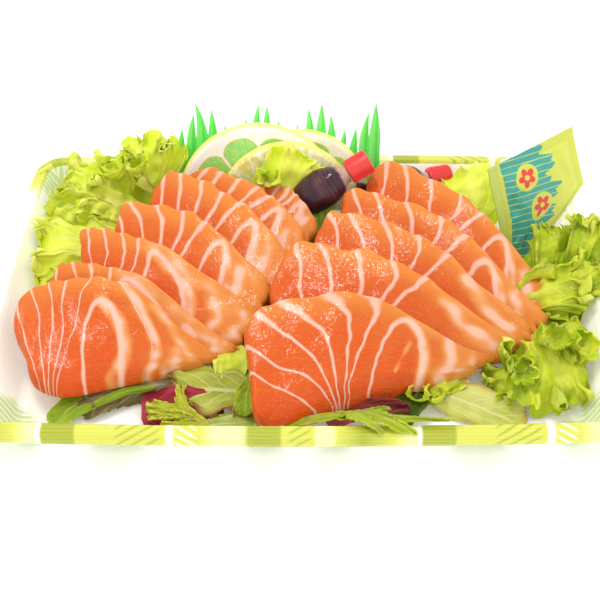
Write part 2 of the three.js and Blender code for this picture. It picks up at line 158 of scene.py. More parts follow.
def ripple(x, y, length, seed):
    """Smooth noise of about -1 to 1: nine waves of about one length, in seeded directions."""
    draw = np.random.default_rng(seed)
    total = np.zeros(np.broadcast(x, y).shape)
    for _ in range(9):
        turn, phase = draw.uniform(0, 2 * math.pi, 2)
        run = (x * math.cos(turn) + y * math.sin(turn)) / (length * draw.uniform(0.7, 1.4))
        total += np.sin(2 * math.pi * run + phase)
    return total / 3


def edge_ripple(t, count, seed):
    """The same noise along one edge, with about so many waves from end to end."""
    return ripple(count * t, 0 * t, 1, seed)


# %% Selecting and editing
def pick(piece):
    """Makes one piece the only selected one."""
    bpy.ops.object.select_all(action="DESELECT")
    piece.select_set(True)
    bpy.context.view_layer.objects.active = piece


def edit_all():
    bpy.ops.object.mode_set(mode="EDIT")
    bpy.ops.mesh.select_all(action="SELECT")


def leave_edit():
    bpy.ops.object.mode_set(mode="OBJECT")


def apply_modifier(piece, kind, **settings):
    pick(piece)
    modifier = piece.modifiers.new(kind.lower(), kind)
    for key, value in settings.items():
        setattr(modifier, key, value)
    bpy.ops.object.modifier_apply(modifier=modifier.name)


def points_of(piece):
    flat = np.empty(3 * len(piece.data.vertices))
    piece.data.vertices.foreach_get("co", flat)
    return flat.reshape(-1, 3)


def move_points(piece, points):
    """Moves every point of a piece to a place in mm."""
    piece.data.vertices.foreach_set("co", (np.asarray(points) * MM).ravel())
    piece.data.update()


def note(piece, name, values):
    """Keeps one number per point under a name, for the material to read."""
    layer = piece.data.attributes.new(name, "FLOAT", "POINT")
    layer.data.foreach_set("value", np.asarray(values, np.float32))


# %% Starting, joining and completing a piece
SMOOTH_ANGLE = math.radians(50)


def begin(name, add_primitive, **settings):
    """Adds a primitive under a name, with its place kept in its points."""
    bpy.ops.object.select_all(action="DESELECT")
    add_primitive(**settings)
    bpy.ops.object.transform_apply(location=True, rotation=False, scale=False)
    piece = bpy.context.object
    piece.name = piece.data.name = name
    return piece


def unit_grid(name, columns, rows):
    """A flat grid whose corners are at 0 and 1."""
    parts = dict(x_subdivisions=columns, y_subdivisions=rows)
    return begin(name, bpy.ops.mesh.primitive_grid_add, size=1, location=(0.5, 0.5, 0), **parts)


def unit_slab(name, columns, rows):
    """The same grid with an underside at -1 and a wall round it."""
    piece = unit_grid(name, columns, rows)
    edit_all()
    bpy.ops.mesh.extrude_region_move(TRANSFORM_OT_translate={"value": (0, 0, -1)})
    bpy.ops.mesh.select_all(action="SELECT")
    bpy.ops.mesh.normals_make_consistent(inside=False)
    leave_edit()
    return piece


def thicken(piece, sheet):
    apply_modifier(piece, "SOLIDIFY", thickness=sheet * MM, offset=0)


def join(pieces, name):
    """Makes one piece of several."""
    bpy.ops.object.select_all(action="DESELECT")
    for piece in pieces:
        piece.select_set(True)
    bpy.context.view_layer.objects.active = pieces[0]
    bpy.ops.object.join()
    pieces[0].name = pieces[0].data.name = name
    return pieces[0]


def complete(piece, node, finish=None):
    """Ties a piece to the frame in place of a CAD node, and gives it the finish if one is passed."""
    if finish is not None:
        piece.data.materials.clear()
        piece.data.materials.append(finish)
    pick(piece)
    bpy.ops.object.shade_smooth_by_angle(angle=SMOOTH_ANGLE)
    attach(piece, "root")
    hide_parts(node)
    print(piece.name, "has", len(piece.data.polygons), "faces")


# %% [markdown]
# ## Finishes
# Each finish is a small node tree that ends in one Principled shader. Wiring it node by node takes
# many lines, so two classes do it. An Amount is a number that varies over the surface, and sums
# with it add Math nodes, so that a finish reads like a recipe. A Finish holds the tree and makes
# amounts, colours and bumps. Colours are written as they look on screen and turned into light
# values. What is the same all over is set on the shader itself.


# %% Amounts and colours
def paint(red, green, blue):
    """A screen colour, from 0 to 255, as light values."""
    channels = [c / 255 for c in (red, green, blue)]
    light = [c / 12.92 if c < 0.04045 else ((c + 0.055) / 1.055) ** 2.4 for c in channels]
    return (*light, 1)


class Amount:
    """A number that varies over a surface. Arithmetic on it adds Math nodes to its finish."""

    def __init__(self, finish, socket):
        self.finish, self.socket = finish, socket

    def math(self, operation, *others):
        return self.finish.math(operation, self, *others)

    def __add__(self, other):
        return self.math("ADD", other)

    def __sub__(self, other):
        return self.math("SUBTRACT", other)

    def __rsub__(self, other):
        return self.finish.math("SUBTRACT", other, self)

    def __mul__(self, other):
        return self.math("MULTIPLY", other)

    def __truediv__(self, other):
        return self.math("DIVIDE", other)

    def __abs__(self):
        return self.math("ABSOLUTE")

    __radd__, __rmul__ = __add__, __mul__


# %% Finish helper
class Finish:
    """A material. Its shader is set up with what is even and then fed with what varies.

    scatter is how much light sinks in, the share of that path for red, green and blue, and its
    length. coat is how much clear coat there is and how rough it is.
    """

    def __init__(self, name, roughness, scatter=(), coat=(), **even):
        self.material = bpy.data.materials.new(name)
        self.material.use_nodes = True
        self.tree = self.material.node_tree
        scatter_keys = ("subsurface_weight", "subsurface_radius", "subsurface_scale")
        coat_keys = ("coat_weight", "coat_roughness")
        self.set_skin(roughness=roughness, **even)
        self.set_skin(**dict(zip(scatter_keys, scatter)), **dict(zip(coat_keys, coat)))

    def set_skin(self, **values):
        skin = self.tree.nodes["Principled BSDF"].inputs
        for key, value in values.items():
            self.feed(skin[key.replace("_", " ").title().replace("Ior", "IOR")], value)

    def feed(self, socket, value):
        value = getattr(value, "socket", value)
        if isinstance(value, bpy.types.NodeSocket):
            self.tree.links.new(value, socket)
        else:
            socket.default_value = value

    def add(self, kind, sockets=(), **settings):
        node = self.tree.nodes.new("ShaderNode" + kind)
        for key, value in settings.items():
            setattr(node, key, value)
        for key, value in dict(sockets).items():
            self.feed(node.inputs[key], value)
        return node

    def math(self, operation, *values):
        return Amount(self, self.add("Math", enumerate(values), operation=operation).outputs[0])

    def step(self, value, low, high):
        """Rises smoothly from 0 where the value is low to 1 where it is high."""
        sockets = {"Value": value, "From Min": low, "From Max": high}
        node = self.add("MapRange", sockets, interpolation_type="SMOOTHSTEP")
        return Amount(self, node.outputs["Result"])

    def tint(self, share, under, over):
        return self.add("Mix", {0: share, 6: under, 7: over}, data_type="RGBA").outputs[2]

    def place(self, source="Object", scale=(1, 1, 1)):
        start = self.add("TexCoord").outputs[source]
        return self.add("Mapping", {"Vector": start, "Scale": scale}).outputs[0]

    def axes(self, vector):
        return [Amount(self, axis) for axis in self.add("SeparateXYZ", {0: vector}).outputs]

    def noise(self, vector, scale=1, detail=2, bend=0):
        sockets = {"Vector": vector, "Scale": scale, "Detail": detail, "Distortion": bend}
        return Amount(self, self.add("TexNoise", sockets).outputs["Fac"])

    def noted(self, name):
        return Amount(self, self.add("Attribute", attribute_name=name).outputs["Fac"])

    def relief(self, height, depth, under=None):
        """Bumps of a depth in mm, over other bumps if there are any."""
        sockets = {"Height": height, "Distance": depth * MM}
        if under is not None:
            sockets["Normal"] = under
        return self.add("Bump", sockets).outputs[0]

    def coat_with(self, **varied):
        self.set_skin(**varied)
        print("Finish", self.material.name, "has", len(self.tree.nodes), "nodes")
        return self.material


# %% [markdown]
# ## The salmon
# A slice of salmon is a soft slab about 7 mm thick, with a broad head and a thin tail. The slices
# of a fan overlap like roof tiles, so each follows the one behind it. Modelling twelve slabs by
# hand would leave gaps, so one formula lays them all: the heads follow one curve, the tails
# another, and every slice climbs from its own level. The CAD solids follow the same formula.

# %% Where the slices lie
# A slice is (top, head, tail, droop at the head, droop at the tail, slant).
LEFT_FAN = dict(
    heads=[(-88, -57), (-103, -12), (-88, 24), (-60, 52), (-16, 52)],
    tails=[(-44, -40), (-26, -32), (-10, -23), (4, -8), (15, 20)],
    step=0.115,
    climb=65,
    thickness=6.8,
    slices=[
        (0.305, 0.985, -0.08, 0.07, 0.11, 0),
        (0.38, 0.875, -0.04, 0.03, 0.09, 0.12),
        (0.52, 0.915, 0.03, 0.03, 0, 0.27),
        (0.675, 0.915, 0.09, 0.07, 0.02, 0.33),
        (0.805, 0.955, 0.12, 0.02, 0, 0.36),
        (0.897, 1, 0.17, 0.02, 0, 0.3),
        (0.983, 0.82, 0.2, 0.05, 0, 0.25),
    ],
)
RIGHT_FAN = dict(
    heads=[(-15, -69), (-20, -26), (-4, 13), (16, 42), (48, 62)],
    tails=[(52, -43), (65, -35), (77, -26), (89, -14), (99, 2)],
    step=0.155,
    climb=62,
    thickness=7.2,
    slices=[
        (0.31, 0.98, -0.05, 0.05, 0.1, 0),
        (0.487, 0.985, -0.04, 0.02, 0.06, 0.13),
        (0.645, 0.965, -0.03, 0.02, 0.05, 0.2),
        (0.787, 1.005, -0.02, 0.02, 0.07, 0.24),
        (0.915, 1.09, 0, 0, 0.06, 0.3),
    ],
)
BED_TOP = 6.5  # mm, where the fans rest on the leaves
SLICE_FOOT = 0.02
TAIL_CLIMB = 0.45  # how much of its climb a slice keeps at the tail


def on_slice(fan, k, x, y, w):
    """A place on slice k: x from head to tail, y from foot to top, w from underside to face."""
    top, head, tail, droop_head, droop_tail, slant = fan["slices"][k]
    level = k * fan["step"]
    s = mix(head - slant * (1 - y), tail, x)
    lowered = droop_head * smoothstep(s, 0.5, 1.05) + droop_tail * smoothstep(-s, -0.5, 0.1)
    turn = mix(level + SLICE_FOOT, top - lowered, y)
    spine = mix(along_curve(fan["tails"], turn), along_curve(fan["heads"], turn), s[:, None])
    climb = (turn - level) * fan["climb"] + fan["thickness"] * w
    height = BED_TOP + climb * mix(TAIL_CLIMB, 1, smoothstep(s, -0.1, 0.6))
    return np.column_stack([spine, height])


# %% [markdown]
# White lines of fat run through the flesh. They start at the upper edge, sweep down and draw
# together near the foot, and one of them doubles back in an arch round a darker middle. Broad soft
# bands cross the tail. The slices of a fan come from one piece of fish, so neighbours share a
# pattern, moved along a little. Each pattern is written down as a few points for every line and
# band, because drawn lines could not be moved and varied from slice to slice.

# %% Patterns of the front slices
# Lines and bands are points (x, y) on the slice, from the top edge down. A band adds its reach in
# mm and its strength. An arch is its middle, the shift of its crown, its half width, height and
# shape. Bold is the half width of a line in mm at the foot, half way and at the top.
FRONT_LEFT = dict(
    lines=[
        [(0.01, 0.88), (0.03, 0.59), (0.035, 0.25), (0.05, 0)],
        [(0.08, 0.97), (0.12, 0.7), (0.11, 0.47), (0.06, 0)],
        [(0.16, 1.02), (0.19, 0.74), (0.17, 0.48), (0.07, 0)],
        [(0.255, 1.02), (0.24, 0.71), (0.22, 0.46), (0.09, 0)],
        [(0.35, 1.03), (0.31, 0.74), (0.285, 0.5), (0.11, 0)],
        [(0.44, 1), (0.55, 0.8), (0.65, 0.58), (0.71, 0.3), (0.71, 0)],
    ],
    bold=(0.18, 0.25, 0.36),
    arch=(0.435, -0.02, 0.12, 0.74, 1.7, 3),
    tail=0.45,
    bands=[
        ([(0.41, 0.74), (0.49, 0.62), (0.545, 0.42), (0.56, 0.22), (0.5, 0.02)], 2.4, 0.85),
        ([(0.47, 0.98), (0.58, 0.8), (0.68, 0.58), (0.735, 0.3), (0.73, 0)], 2, 0.95),
        ([(0.62, 0.95), (0.78, 0.76), (0.9, 0.55)], 2.2, 0.7),
        ([(0.8, 0.6), (0.86, 0.35), (0.84, 0.1)], 2.4, 0.8),
    ],
)
FRONT_RIGHT = dict(
    lines=[
        [(-0.02, 0.46), (0.06, 0.32), (0.18, 0.15), (0.29, -0.02)],
        [(-0.02, 0.68), (0.11, 0.43), (0.24, 0.29), (0.37, -0.02)],
        [(0.02, 0.9), (0.22, 0.54), (0.3, 0.35), (0.38, -0.02)],
        [(0.11, 0.97), (0.28, 0.71), (0.34, 0.52), (0.39, -0.02)],
        [(0.27, 1.02), (0.4, 0.78), (0.415, 0.5), (0.4, -0.02)],
        [(0.44, 1.02), (0.495, 0.86), (0.49, 0.54), (0.41, -0.02)],
    ],
    bold=(0.25, 0.5, 1.5),
    arch=(0.65, -0.02, 0.12, 0.9, 1.5, 3),
    tail=0.65,
    bands=[
        ([(0.63, 0.91), (0.69, 0.8), (0.75, 0.5), (0.775, 0.05)], 2, 0.9),
        ([(0.56, 1), (0.7, 0.96), (0.84, 0.88), (0.94, 0.8)], 2, 0.4),
        ([(0.8, 0.92), (0.855, 0.65), (0.88, 0.35), (0.87, 0.1)], 2.8, 0.95),
        ([(0.93, 0.8), (0.97, 0.5), (0.95, 0.2)], 2.4, 0.7),
        ([(0.665, 0.64), (0.65, 0.42), (0.64, 0.24)], 0.9, 0.55),
    ],
)

# %% Patterns of the slices behind
BACK_LEFT = dict(
    lines=[
        [(0.03, 1.02), (0.05, 0.75), (0.06, 0.5), (0.05, 0)],
        [(0.1, 1.02), (0.145, 0.75), (0.14, 0.5), (0.08, 0)],
        [(0.2, 1.02), (0.24, 0.77), (0.22, 0.5), (0.1, 0)],
        [(0.3, 1.02), (0.31, 0.8), (0.28, 0.55), (0.13, 0)],
    ],
    bold=(0.22, 0.36, 0.6),
    arch=(0.5, -0.1, 0.165, 0.88, 1.7, 6),
    tail=0.55,
    bands=[
        ([(0.37, 0.96), (0.48, 0.9), (0.62, 0.86), (0.78, 0.82), (0.94, 0.72)], 4, 0.62),
        ([(0.4, 0.88), (0.53, 0.79), (0.63, 0.66), (0.67, 0.45)], 2.2, 0.9),
        ([(0.74, 0.75), (0.81, 0.55), (0.82, 0.3)], 2.6, 0.9),
        ([(0.9, 0.8), (0.94, 0.5), (0.92, 0.2)], 2.6, 0.8),
    ],
)
BACK_RIGHT = dict(
    lines=[
        [(0.01, 1.02), (0.08, 0.78), (0.12, 0.52), (0.2, 0)],
        [(0.11, 1.02), (0.2, 0.78), (0.24, 0.52), (0.26, 0)],
        [(0.27, 1.02), (0.335, 0.8), (0.345, 0.55), (0.3, 0)],
        [(0.43, 1.02), (0.46, 0.82), (0.43, 0.55), (0.34, 0)],
        [(0.58, 1.02), (0.54, 0.82), (0.49, 0.55), (0.38, 0)],
    ],
    bold=(0.3, 0.6, 0.85),
    arch=(0.71, -0.01, 0.1, 0.93, 1.6, 3),
    tail=0.65,
    bands=[
        ([(0.72, 0.93), (0.78, 0.78), (0.82, 0.6)], 2, 0.8),
        ([(0.84, 0.85), (0.88, 0.65), (0.9, 0.4)], 2.8, 1),
        ([(0.62, 1), (0.8, 0.95), (0.95, 0.85)], 2, 0.35),
    ],
)
MIDDLE_RIGHT = dict(
    BACK_RIGHT,
    arch=(2, 0, 0.1, 0.9, 1.6, 3),  # so far past the tail that it doesn't show
    bands=[
        ([(0.68, 0.88), (0.76, 0.78), (0.84, 0.7), (0.93, 0.6)], 3, 0.9),
        ([(0.62, 0.98), (0.78, 0.94), (0.95, 0.85)], 2, 0.4),
    ],
)
# Each cut is a pattern, how far it is moved, and how square its corners are if not as the others.
LEFT_CUTS = [(FRONT_LEFT, 0, 3.8), (BACK_LEFT, -0.02), (BACK_LEFT, 0.01)]
LEFT_CUTS += [(BACK_RIGHT, shift) for shift in (-0.06, -0.02, 0.02, -0.04)]
RIGHT_CUTS = [(FRONT_RIGHT, 0), (MIDDLE_RIGHT, 0.01), (MIDDLE_RIGHT, 0)]
RIGHT_CUTS += [(BACK_RIGHT, shift) for shift in (0.01, 0)]
print("There are patterns for", len(LEFT_CUTS), "and", len(RIGHT_CUTS), "slices")

# %% [markdown]
# Painting the lines would need an image, and a distance kept at every mesh point would fray the
# thin lines. So each point keeps a count of the lines passed on the way from the head, which rises
# evenly between two lines. The finish draws a line wherever the count is whole, however coarse the
# mesh is. The arch is kept as a number that is positive inside it and negative outside. The soft
# bands, the deep colour and the paler tail are three more numbers. The deep colour is also a painted
# shade that darkens each slice towards its foot, and the paler tail colour is also a painted
# highlight along the top edge of each slice.

# %% Measure the lines
LINE_SAMPLES = 50
LINE_GAP = 0.017  # the least distance between lines, as a share of the slice
END_RUN = 0.1  # the same, over which the count rises by one beyond the outer lines
NUDGE = 0.004


def lines_passed(lines, x, y):
    """How many lines lie between the head and each place. It is whole on the lines alone."""
    curves = [along_curve(path, np.linspace(1, 0, LINE_SAMPLES)) for path in lines]
    at = []
    for curve in curves:
        end_x, end_y = curve[-1]
        lean = (end_x - curve[-2, 0]) / (end_y - curve[-2, 1])
        at.append(np.interp(y, curve[:, 1], curve[:, 0]) + lean * np.maximum(y - end_y, 0))
        if len(at) > 1:
            at[-1] = np.maximum(at[-1], at[-2] + LINE_GAP)
    between = [np.clip((x - a) / (b - a), 0, 1) for a, b in zip(at, at[1:])]
    before = np.clip((x - at[0]) / END_RUN, -0.5, 0)
    after = np.clip((x - at[-1]) / END_RUN, 0, 0.5)
    return before + np.sum(between, axis=0) + after


def inside_arch(arch, x, y):
    middle, shift, half, height, bow, lean = arch
    up = np.maximum(y / height, 0)
    return 1 - up**bow - ((x - middle - shift * up**lean) / half) ** 2


def slope_on(fan, k, x, y, field):
    """How fast a number changes over the slice, per mm."""
    steps = [((x + NUDGE, y), (x - NUDGE, y)), ((x, y + NUDGE), (x, y - NUDGE))]
    rates = []
    for ahead, behind in steps:
        walk = np.linalg.norm(on_slice(fan, k, *ahead, 1) - on_slice(fan, k, *behind, 1), axis=1)
        rates.append((field(*ahead) - field(*behind)) / walk)
    return np.maximum(np.hypot(*rates), 0.002)


def band_glow(fan, k, here, path, reach, strength):
    """A soft band that fades out over its reach."""
    line = along_curve(path, np.linspace(0, 1, LINE_SAMPLES))
    there = on_slice(fan, k, line[:, 0], line[:, 1], 1)
    gap = np.linalg.norm(here[:, None] - there[None], axis=2).min(axis=1)
    return strength * np.exp(-((gap / reach) ** 2))


# %% Mark the lines and shades on a slice
LINE_WANDER = 0.005  # how much the lines differ from slice to slice


def face_ripple(x, y, length, seed):
    """Noise over a face of about 90 by 45 mm, with waves of a length in mm."""
    return ripple(90 * x, 45 * y, length, seed)


def mark_lines(piece, fan, k, x, y, pattern, seed):
    draw = np.random.default_rng(seed)
    lines = []
    for path in pattern["lines"]:
        lines.append(np.array(path) + draw.normal(0, LINE_WANDER, (len(path), 2)) * (1, 0))

    def count(x, y):
        return lines_passed(lines, x, y)

    def inner(x, y):
        return inside_arch(pattern["arch"], x, y)

    foot, waist, top = pattern["bold"]
    half = mix(mix(foot, waist, smoothstep(y, 0, 0.6)), top, smoothstep(y, 0.65, 1))
    half = half * (1 + 0.2 * face_ripple(x, y, 7, seed + 1))
    middle, _, wide, height, *_ = pattern["arch"]
    leg = mix(0.5, 1, smoothstep(x, middle - wide, middle + wide))
    leg = leg + 0.3 * smoothstep(y, 0.5, height)
    sway = x + 0.003 * face_ripple(x, y, 8, seed)
    note(piece, "passed", count(sway, y))
    note(piece, "spread", 1 / (slope_on(fan, k, sway, y, count) * half))
    away = inner(sway, y) / slope_on(fan, k, sway, y, inner)
    note(piece, "arch", np.clip(away / leg, -9, 9))


def mark_shades(piece, fan, k, x, y, pattern, shift, seed):
    here = on_slice(fan, k, x + shift, y, 1)
    glows = []
    for path, reach, strength in pattern["bands"]:
        glows.append(band_glow(fan, k, here, np.array(path) + (shift, 0), reach, strength))
    note(piece, "pale", np.max(glows, axis=0) * (1 + 0.25 * face_ripple(x, y, 11, seed + 2)))
    middle = 0.8 * smoothstep(inside_arch(pattern["arch"], x, y), 0, 0.6)
    # Painted shade: the deep colour also grows towards the foot of the slice.
    low = 0.65 - 0.6 * smoothstep(y, 0.55, 0.95) + 0.3 * (1 - smoothstep(y, 0, 0.35))
    note(piece, "deep_and_shade", np.maximum(middle, low * (1 - smoothstep(x, 0.5, 1))))
    tail = smoothstep(x, pattern["tail"], 1.05)
    # Painted highlight: the pale tail colour also lightens the top edge of every slice.
    note(piece, "tail", np.maximum(tail, 0.95 * smoothstep(y, 0.72, 1)))


# %% [markdown]
# The flesh itself is orange, redder in the middle and paler towards the tail, with fine streaks
# between the lines. Each slice is also painted darker towards its foot, a painted shade, and paler
# along its top edge, a painted highlight. Light sinks into the flesh and comes out again, which
# subsurface scattering gives, and the cut face is wet, which is a thin clear coat over a slightly
# rough surface. The streaks follow the slice by its own flat map.

# %% Salmon finish
FLESH, FLESH_LIGHT = paint(203, 97, 31), paint(210, 112, 42)
FLESH_DEEP_AND_SHADE, FLESH_TAIL_AND_LIT_EDGE = paint(208, 74, 8), paint(220, 134, 54)
FAT, CREAM = paint(232, 187, 167), paint(224, 152, 84)


def salmon_finish():
    scatter = (0.3, (1, 0.35, 0.2), 2 * MM)
    f = Finish("salmon_flesh", 0.5, scatter, coat=(0.35, 0.1), specular_ior_level=0.05)
    cloud = f.noise(f.place(), 110, 3)
    streak = f.noise(f.place("UV", (20, 90, 1)), 1, 2, 0.3)
    speck = f.noise(f.place(), 1500, 2)
    flesh = f.tint(f.step(cloud, 0.35, 0.68), FLESH, FLESH_LIGHT)
    # Painted highlight: the tail colour also lightens the top edge of each slice.
    flesh = f.tint(f.noted("tail"), flesh, FLESH_TAIL_AND_LIT_EDGE)
    # Painted shade: the deep colour also darkens each slice towards its foot.
    flesh = f.tint(f.noted("deep_and_shade"), flesh, FLESH_DEEP_AND_SHADE)
    pale = (cloud - 0.5) * 0.5 + f.noted("pale")
    flesh = f.tint(f.step(pale, 0.1, 0.6) * 0.75, flesh, CREAM)
    flesh = f.tint(f.step(pale, 0.5, 1) * 0.85, flesh, FAT)
    fleck = f.step(streak, 0.5, 0.8) + f.step(speck, 0.52, 0.72)
    flesh = f.tint(fleck * 0.25, flesh, CREAM)
    passed = f.noted("passed")
    line = abs(passed - passed.math("ROUND")) * f.noted("spread")
    nearest = f.math("MINIMUM", line, abs(f.noted("arch")))
    fat = f.step((speck - 0.5) * 0.7 + nearest, 1.7, 0.4)
    colour = f.tint(fat * 0.85, flesh, FAT)
    grain = f.relief(f.noise(f.place(), 900, 2), 0.1)
    fibres = f.relief(streak, 0.14, grain)
    seams = f.relief(fat, 0.16, fibres)
    wet = f.relief(f.noise(f.place(), 700, 2), 0.24, f.relief(cloud, 0.8))
    return f.coat_with(base_color=colour, normal=seams, coat_normal=wet)


salmon = salmon_finish()

# %% [markdown]
# A cut slice has rolled edges, a frayed tail and a top edge that steps where the lines meet it. A
# bevel would round every edge alike, so each side of the slab gets its own roll before the slice is
# laid. The two front slices show their whole face and get a finer grid.

# %% Shape the edge of a slice
SLICE_GRID, FRONT_GRID = (100, 52), (130, 92)
SLICE_LENGTH, SLICE_BREADTH = 85, 40
# How each side rolls down: mm of the face, and share of the thickness, for head, tail, foot and top.
ROLLS = [(1.8, 0.4), (5, 0.5), (10, 0.7), (1.5, 0.35)]
UNDER_ROLL = (1.5, 0.15)


def crowd(t):
    """Spreads grid rows so that they lie closer together near both ends."""
    return mix(t, (1 - np.cos(math.pi * t)) / 2, 0.6)


def rolled(inward, reach, share):
    return share * (1 - np.sqrt(1 - (1 - np.clip(inward / reach, 0, 1)) ** 2))


def fray(x, y, pattern, shift, seed):
    """Frays the tail, waves the head, and steps the top edge where the lines meet it."""
    x = x + 0.018 * smoothstep(x, 0.7, 1) * edge_ripple(y, 2, seed)
    x = x + 0.014 * smoothstep(x, 0.9, 1) * edge_ripple(y, 7, seed + 4)
    x = x - 0.015 * (1 - smoothstep(x, 0, 0.3)) * edge_ripple(y, 3, seed + 1)
    steps = np.sin(2 * math.pi * lines_passed(pattern["lines"], x - shift, y))
    y = y + y**3 * (0.012 * steps + 0.015 * edge_ripple(x, 4, seed + 2))
    torn = smoothstep(x, 0.55, 0.8) * (1 - smoothstep(y, 0, 0.2))
    y = y + 0.028 * torn * (edge_ripple(x, 5, seed + 5) + edge_ripple(x, 16, seed + 6))
    return x, y


# %% Lay the slices
def lay_slice(fan, side, k, pattern, shift, corner=7):
    piece = unit_slab(f"salmon_slice_{side}_{k + 1}", *(SLICE_GRID if k else FRONT_GRID))
    u, v, z = points_of(piece).T
    u, v = crowd(u), crowd(v)
    lengthways, crossways = (u, 1 - u), (v, 1 - v)
    inward = [t * SLICE_LENGTH for t in lengthways] + [t * SLICE_BREADTH for t in crossways]
    over = np.max([rolled(d, *roll) for d, roll in zip(inward, ROLLS)], axis=0)
    under = rolled(np.min(inward, axis=0), *UNDER_ROLL)
    seed = 40 + 10 * k + len(side)
    x, y = fray(*squircle(u, v, corner), pattern, shift, seed)
    swell = 0.04 * face_ripple(x, y, 16, seed + 3)
    move_points(piece, on_slice(fan, k, x, y, np.where(z < -0.5, under, 1 - over + swell)))
    mark_lines(piece, fan, k, x - shift, y, pattern, seed)
    mark_shades(piece, fan, k, x - shift, y, pattern, shift, seed)
    complete(piece, f"salmon_{side}_{k + 1}", salmon)


for fan, side, cuts in ((LEFT_FAN, "left", LEFT_CUTS), (RIGHT_FAN, "right", RIGHT_CUTS)):
    for k, cut in enumerate(cuts):
        lay_slice(fan, side, k, *cut)

# %% [markdown]
# ## The tray
# The tray is one thin plastic sheet, pressed over a mould: a flat floor, sloping walls, a flat
# flange and a short skirt that hangs down outside. It could be lofted from a drawing. Here it is
# pressed as the factory does it, from one flat outline: round the corners, bow the sides, then
# inset the face ring by ring up over the flange and down into the floor, and thicken it.

# %% Cut the outline of the tray
TRAY_WIDTH, TRAY_DEPTH, TRAY_CORNER, TRAY_BOW = 218, 153, 12, 1.8
SKIRT_FOOT = 15.5


def select_edges(piece, test):
    """Selects the edges whose two ends, in mm, pass a test."""
    bpy.ops.mesh.select_all(action="DESELECT")
    leave_edit()
    places = points_of(piece) / MM
    for edge in piece.data.edges:
        edge.select = bool(test(*places[list(edge.vertices)]))
    bpy.ops.object.mode_set(mode="EDIT")


def cut_outline():
    """A flat sheet with round corners and sides that bow outward."""
    place = (0, 0, SKIRT_FOOT * MM)
    sheet = begin("printed_tray", bpy.ops.mesh.primitive_plane_add, size=1, location=place)
    edit_all()
    bpy.ops.transform.resize(value=(TRAY_WIDTH * MM, TRAY_DEPTH * MM, 1))
    bpy.ops.mesh.bevel(offset=TRAY_CORNER * MM, segments=9, affect="VERTICES")
    select_edges(sheet, lambda a, b: np.linalg.norm(a - b) > 3 * TRAY_CORNER)
    bpy.ops.mesh.subdivide(number_cuts=25)
    leave_edit()
    places = points_of(sheet) / MM
    sides = ((0, 1, TRAY_DEPTH, TRAY_WIDTH), (1, 0, TRAY_WIDTH, TRAY_DEPTH))
    for axis, across, size, length in sides:
        run = np.clip(places[:, axis] / (length / 2 - TRAY_CORNER), -1, 1)
        on_side = abs(places[:, across]) > size / 2 - 0.01
        places[:, across] += np.sign(places[:, across]) * on_side * TRAY_BOW * (1 - run**2)
    move_points(sheet, places)
    return sheet


# %% Press the tray
FLANGE = [(0.3, 3.7), (1.1, 0.8), (3.2, 0), (1, -1)]  # each ring: how far in, how far up
FLANGE_INSET, FLANGE_HEIGHT = 5.6, 19  # where the last of these rings ends
WALL = [(6.2, 17.4), (9.2, 9.6), (11.7, 3), (12.6, 1.9), (14, 1.2)]  # inset, height
TRAY_SHEET, TRAY_SOFTNESS = 1.1, 0.35
BEND = math.radians(25)  # sharper bends than this are softened


def half_sizes(inset):
    return TRAY_WIDTH / 2 - inset, TRAY_DEPTH / 2 - inset


def press_tray():
    tray = cut_outline()
    edit_all()
    for inward, upward in FLANGE:
        bpy.ops.mesh.inset(thickness=inward * MM, depth=upward * MM)
    inset, height = FLANGE_INSET, FLANGE_HEIGHT
    for next_inset, level in WALL:
        drop = {"value": (0, 0, (level - height) * MM)}
        bpy.ops.mesh.extrude_region_move(TRANSFORM_OT_translate=drop)
        shrink = [new / old for new, old in zip(half_sizes(next_inset), half_sizes(inset))]
        bpy.ops.transform.resize(value=(*shrink, 1), center_override=(0, 0, level * MM))
        inset, height = next_inset, level
    leave_edit()
    apply_modifier(tray, "SOLIDIFY", thickness=TRAY_SHEET * MM, offset=-1)
    apply_modifier(tray, "BEVEL", width=TRAY_SOFTNESS * MM, segments=3, angle_limit=BEND)
    return tray


# %% [markdown]
# The print is a bamboo cane along the rim: lime joints with pale bars, blocks of stronger green and
# slanting leaf strokes, which come round again every 121 mm. Inside, the plastic is white with
# faint green leaf shapes and fine ribs that run down the walls. A printed image would carry all of
# it. Here the print is worked out from the place on the tray: how far along the side, how far up.
# The white sheet is thin enough to let some light through. Its upward inner faces also glow
# faintly, a painted light that lifts the shade inside the tray.

# %% Print on the rim
REPEAT, FIRST_BAR = 121, -84  # mm along the rim
LIME, LIME_DEEP = paint(205, 207, 74), paint(163, 170, 22)
LIME_PALE, BAR = paint(240, 242, 160), paint(255, 255, 232)
CANE = [  # where along the repeat, and the colour there
    (0, BAR), (0.01, BAR), (0.016, LIME_DEEP), (0.1, LIME_DEEP), (0.106, LIME), (0.34, LIME),
    (0.346, BAR), (0.358, BAR), (0.366, LIME), (0.43, LIME), (0.47, LIME_PALE), (0.54, LIME_PALE),
    (0.56, LIME_DEEP), (0.64, LIME_DEEP), (0.648, LIME), (0.73, LIME), (0.738, LIME_PALE),
    (0.78, LIME_PALE), (0.79, LIME), (0.86, LIME_DEEP), (0.94, LIME), (0.98, LIME_PALE),
]
# Slanting strokes: where they start and end along the repeat, how they lean, and their colour.
STROKES = [(0.2, 0.335, -1.3, LIME_DEEP), (0.36, 0.43, 1.3, BAR), (0.655, 0.73, -1.3, LIME_DEEP)]
STROKE_STEP, GRAIN_STEP = 4.8, 1.6  # mm


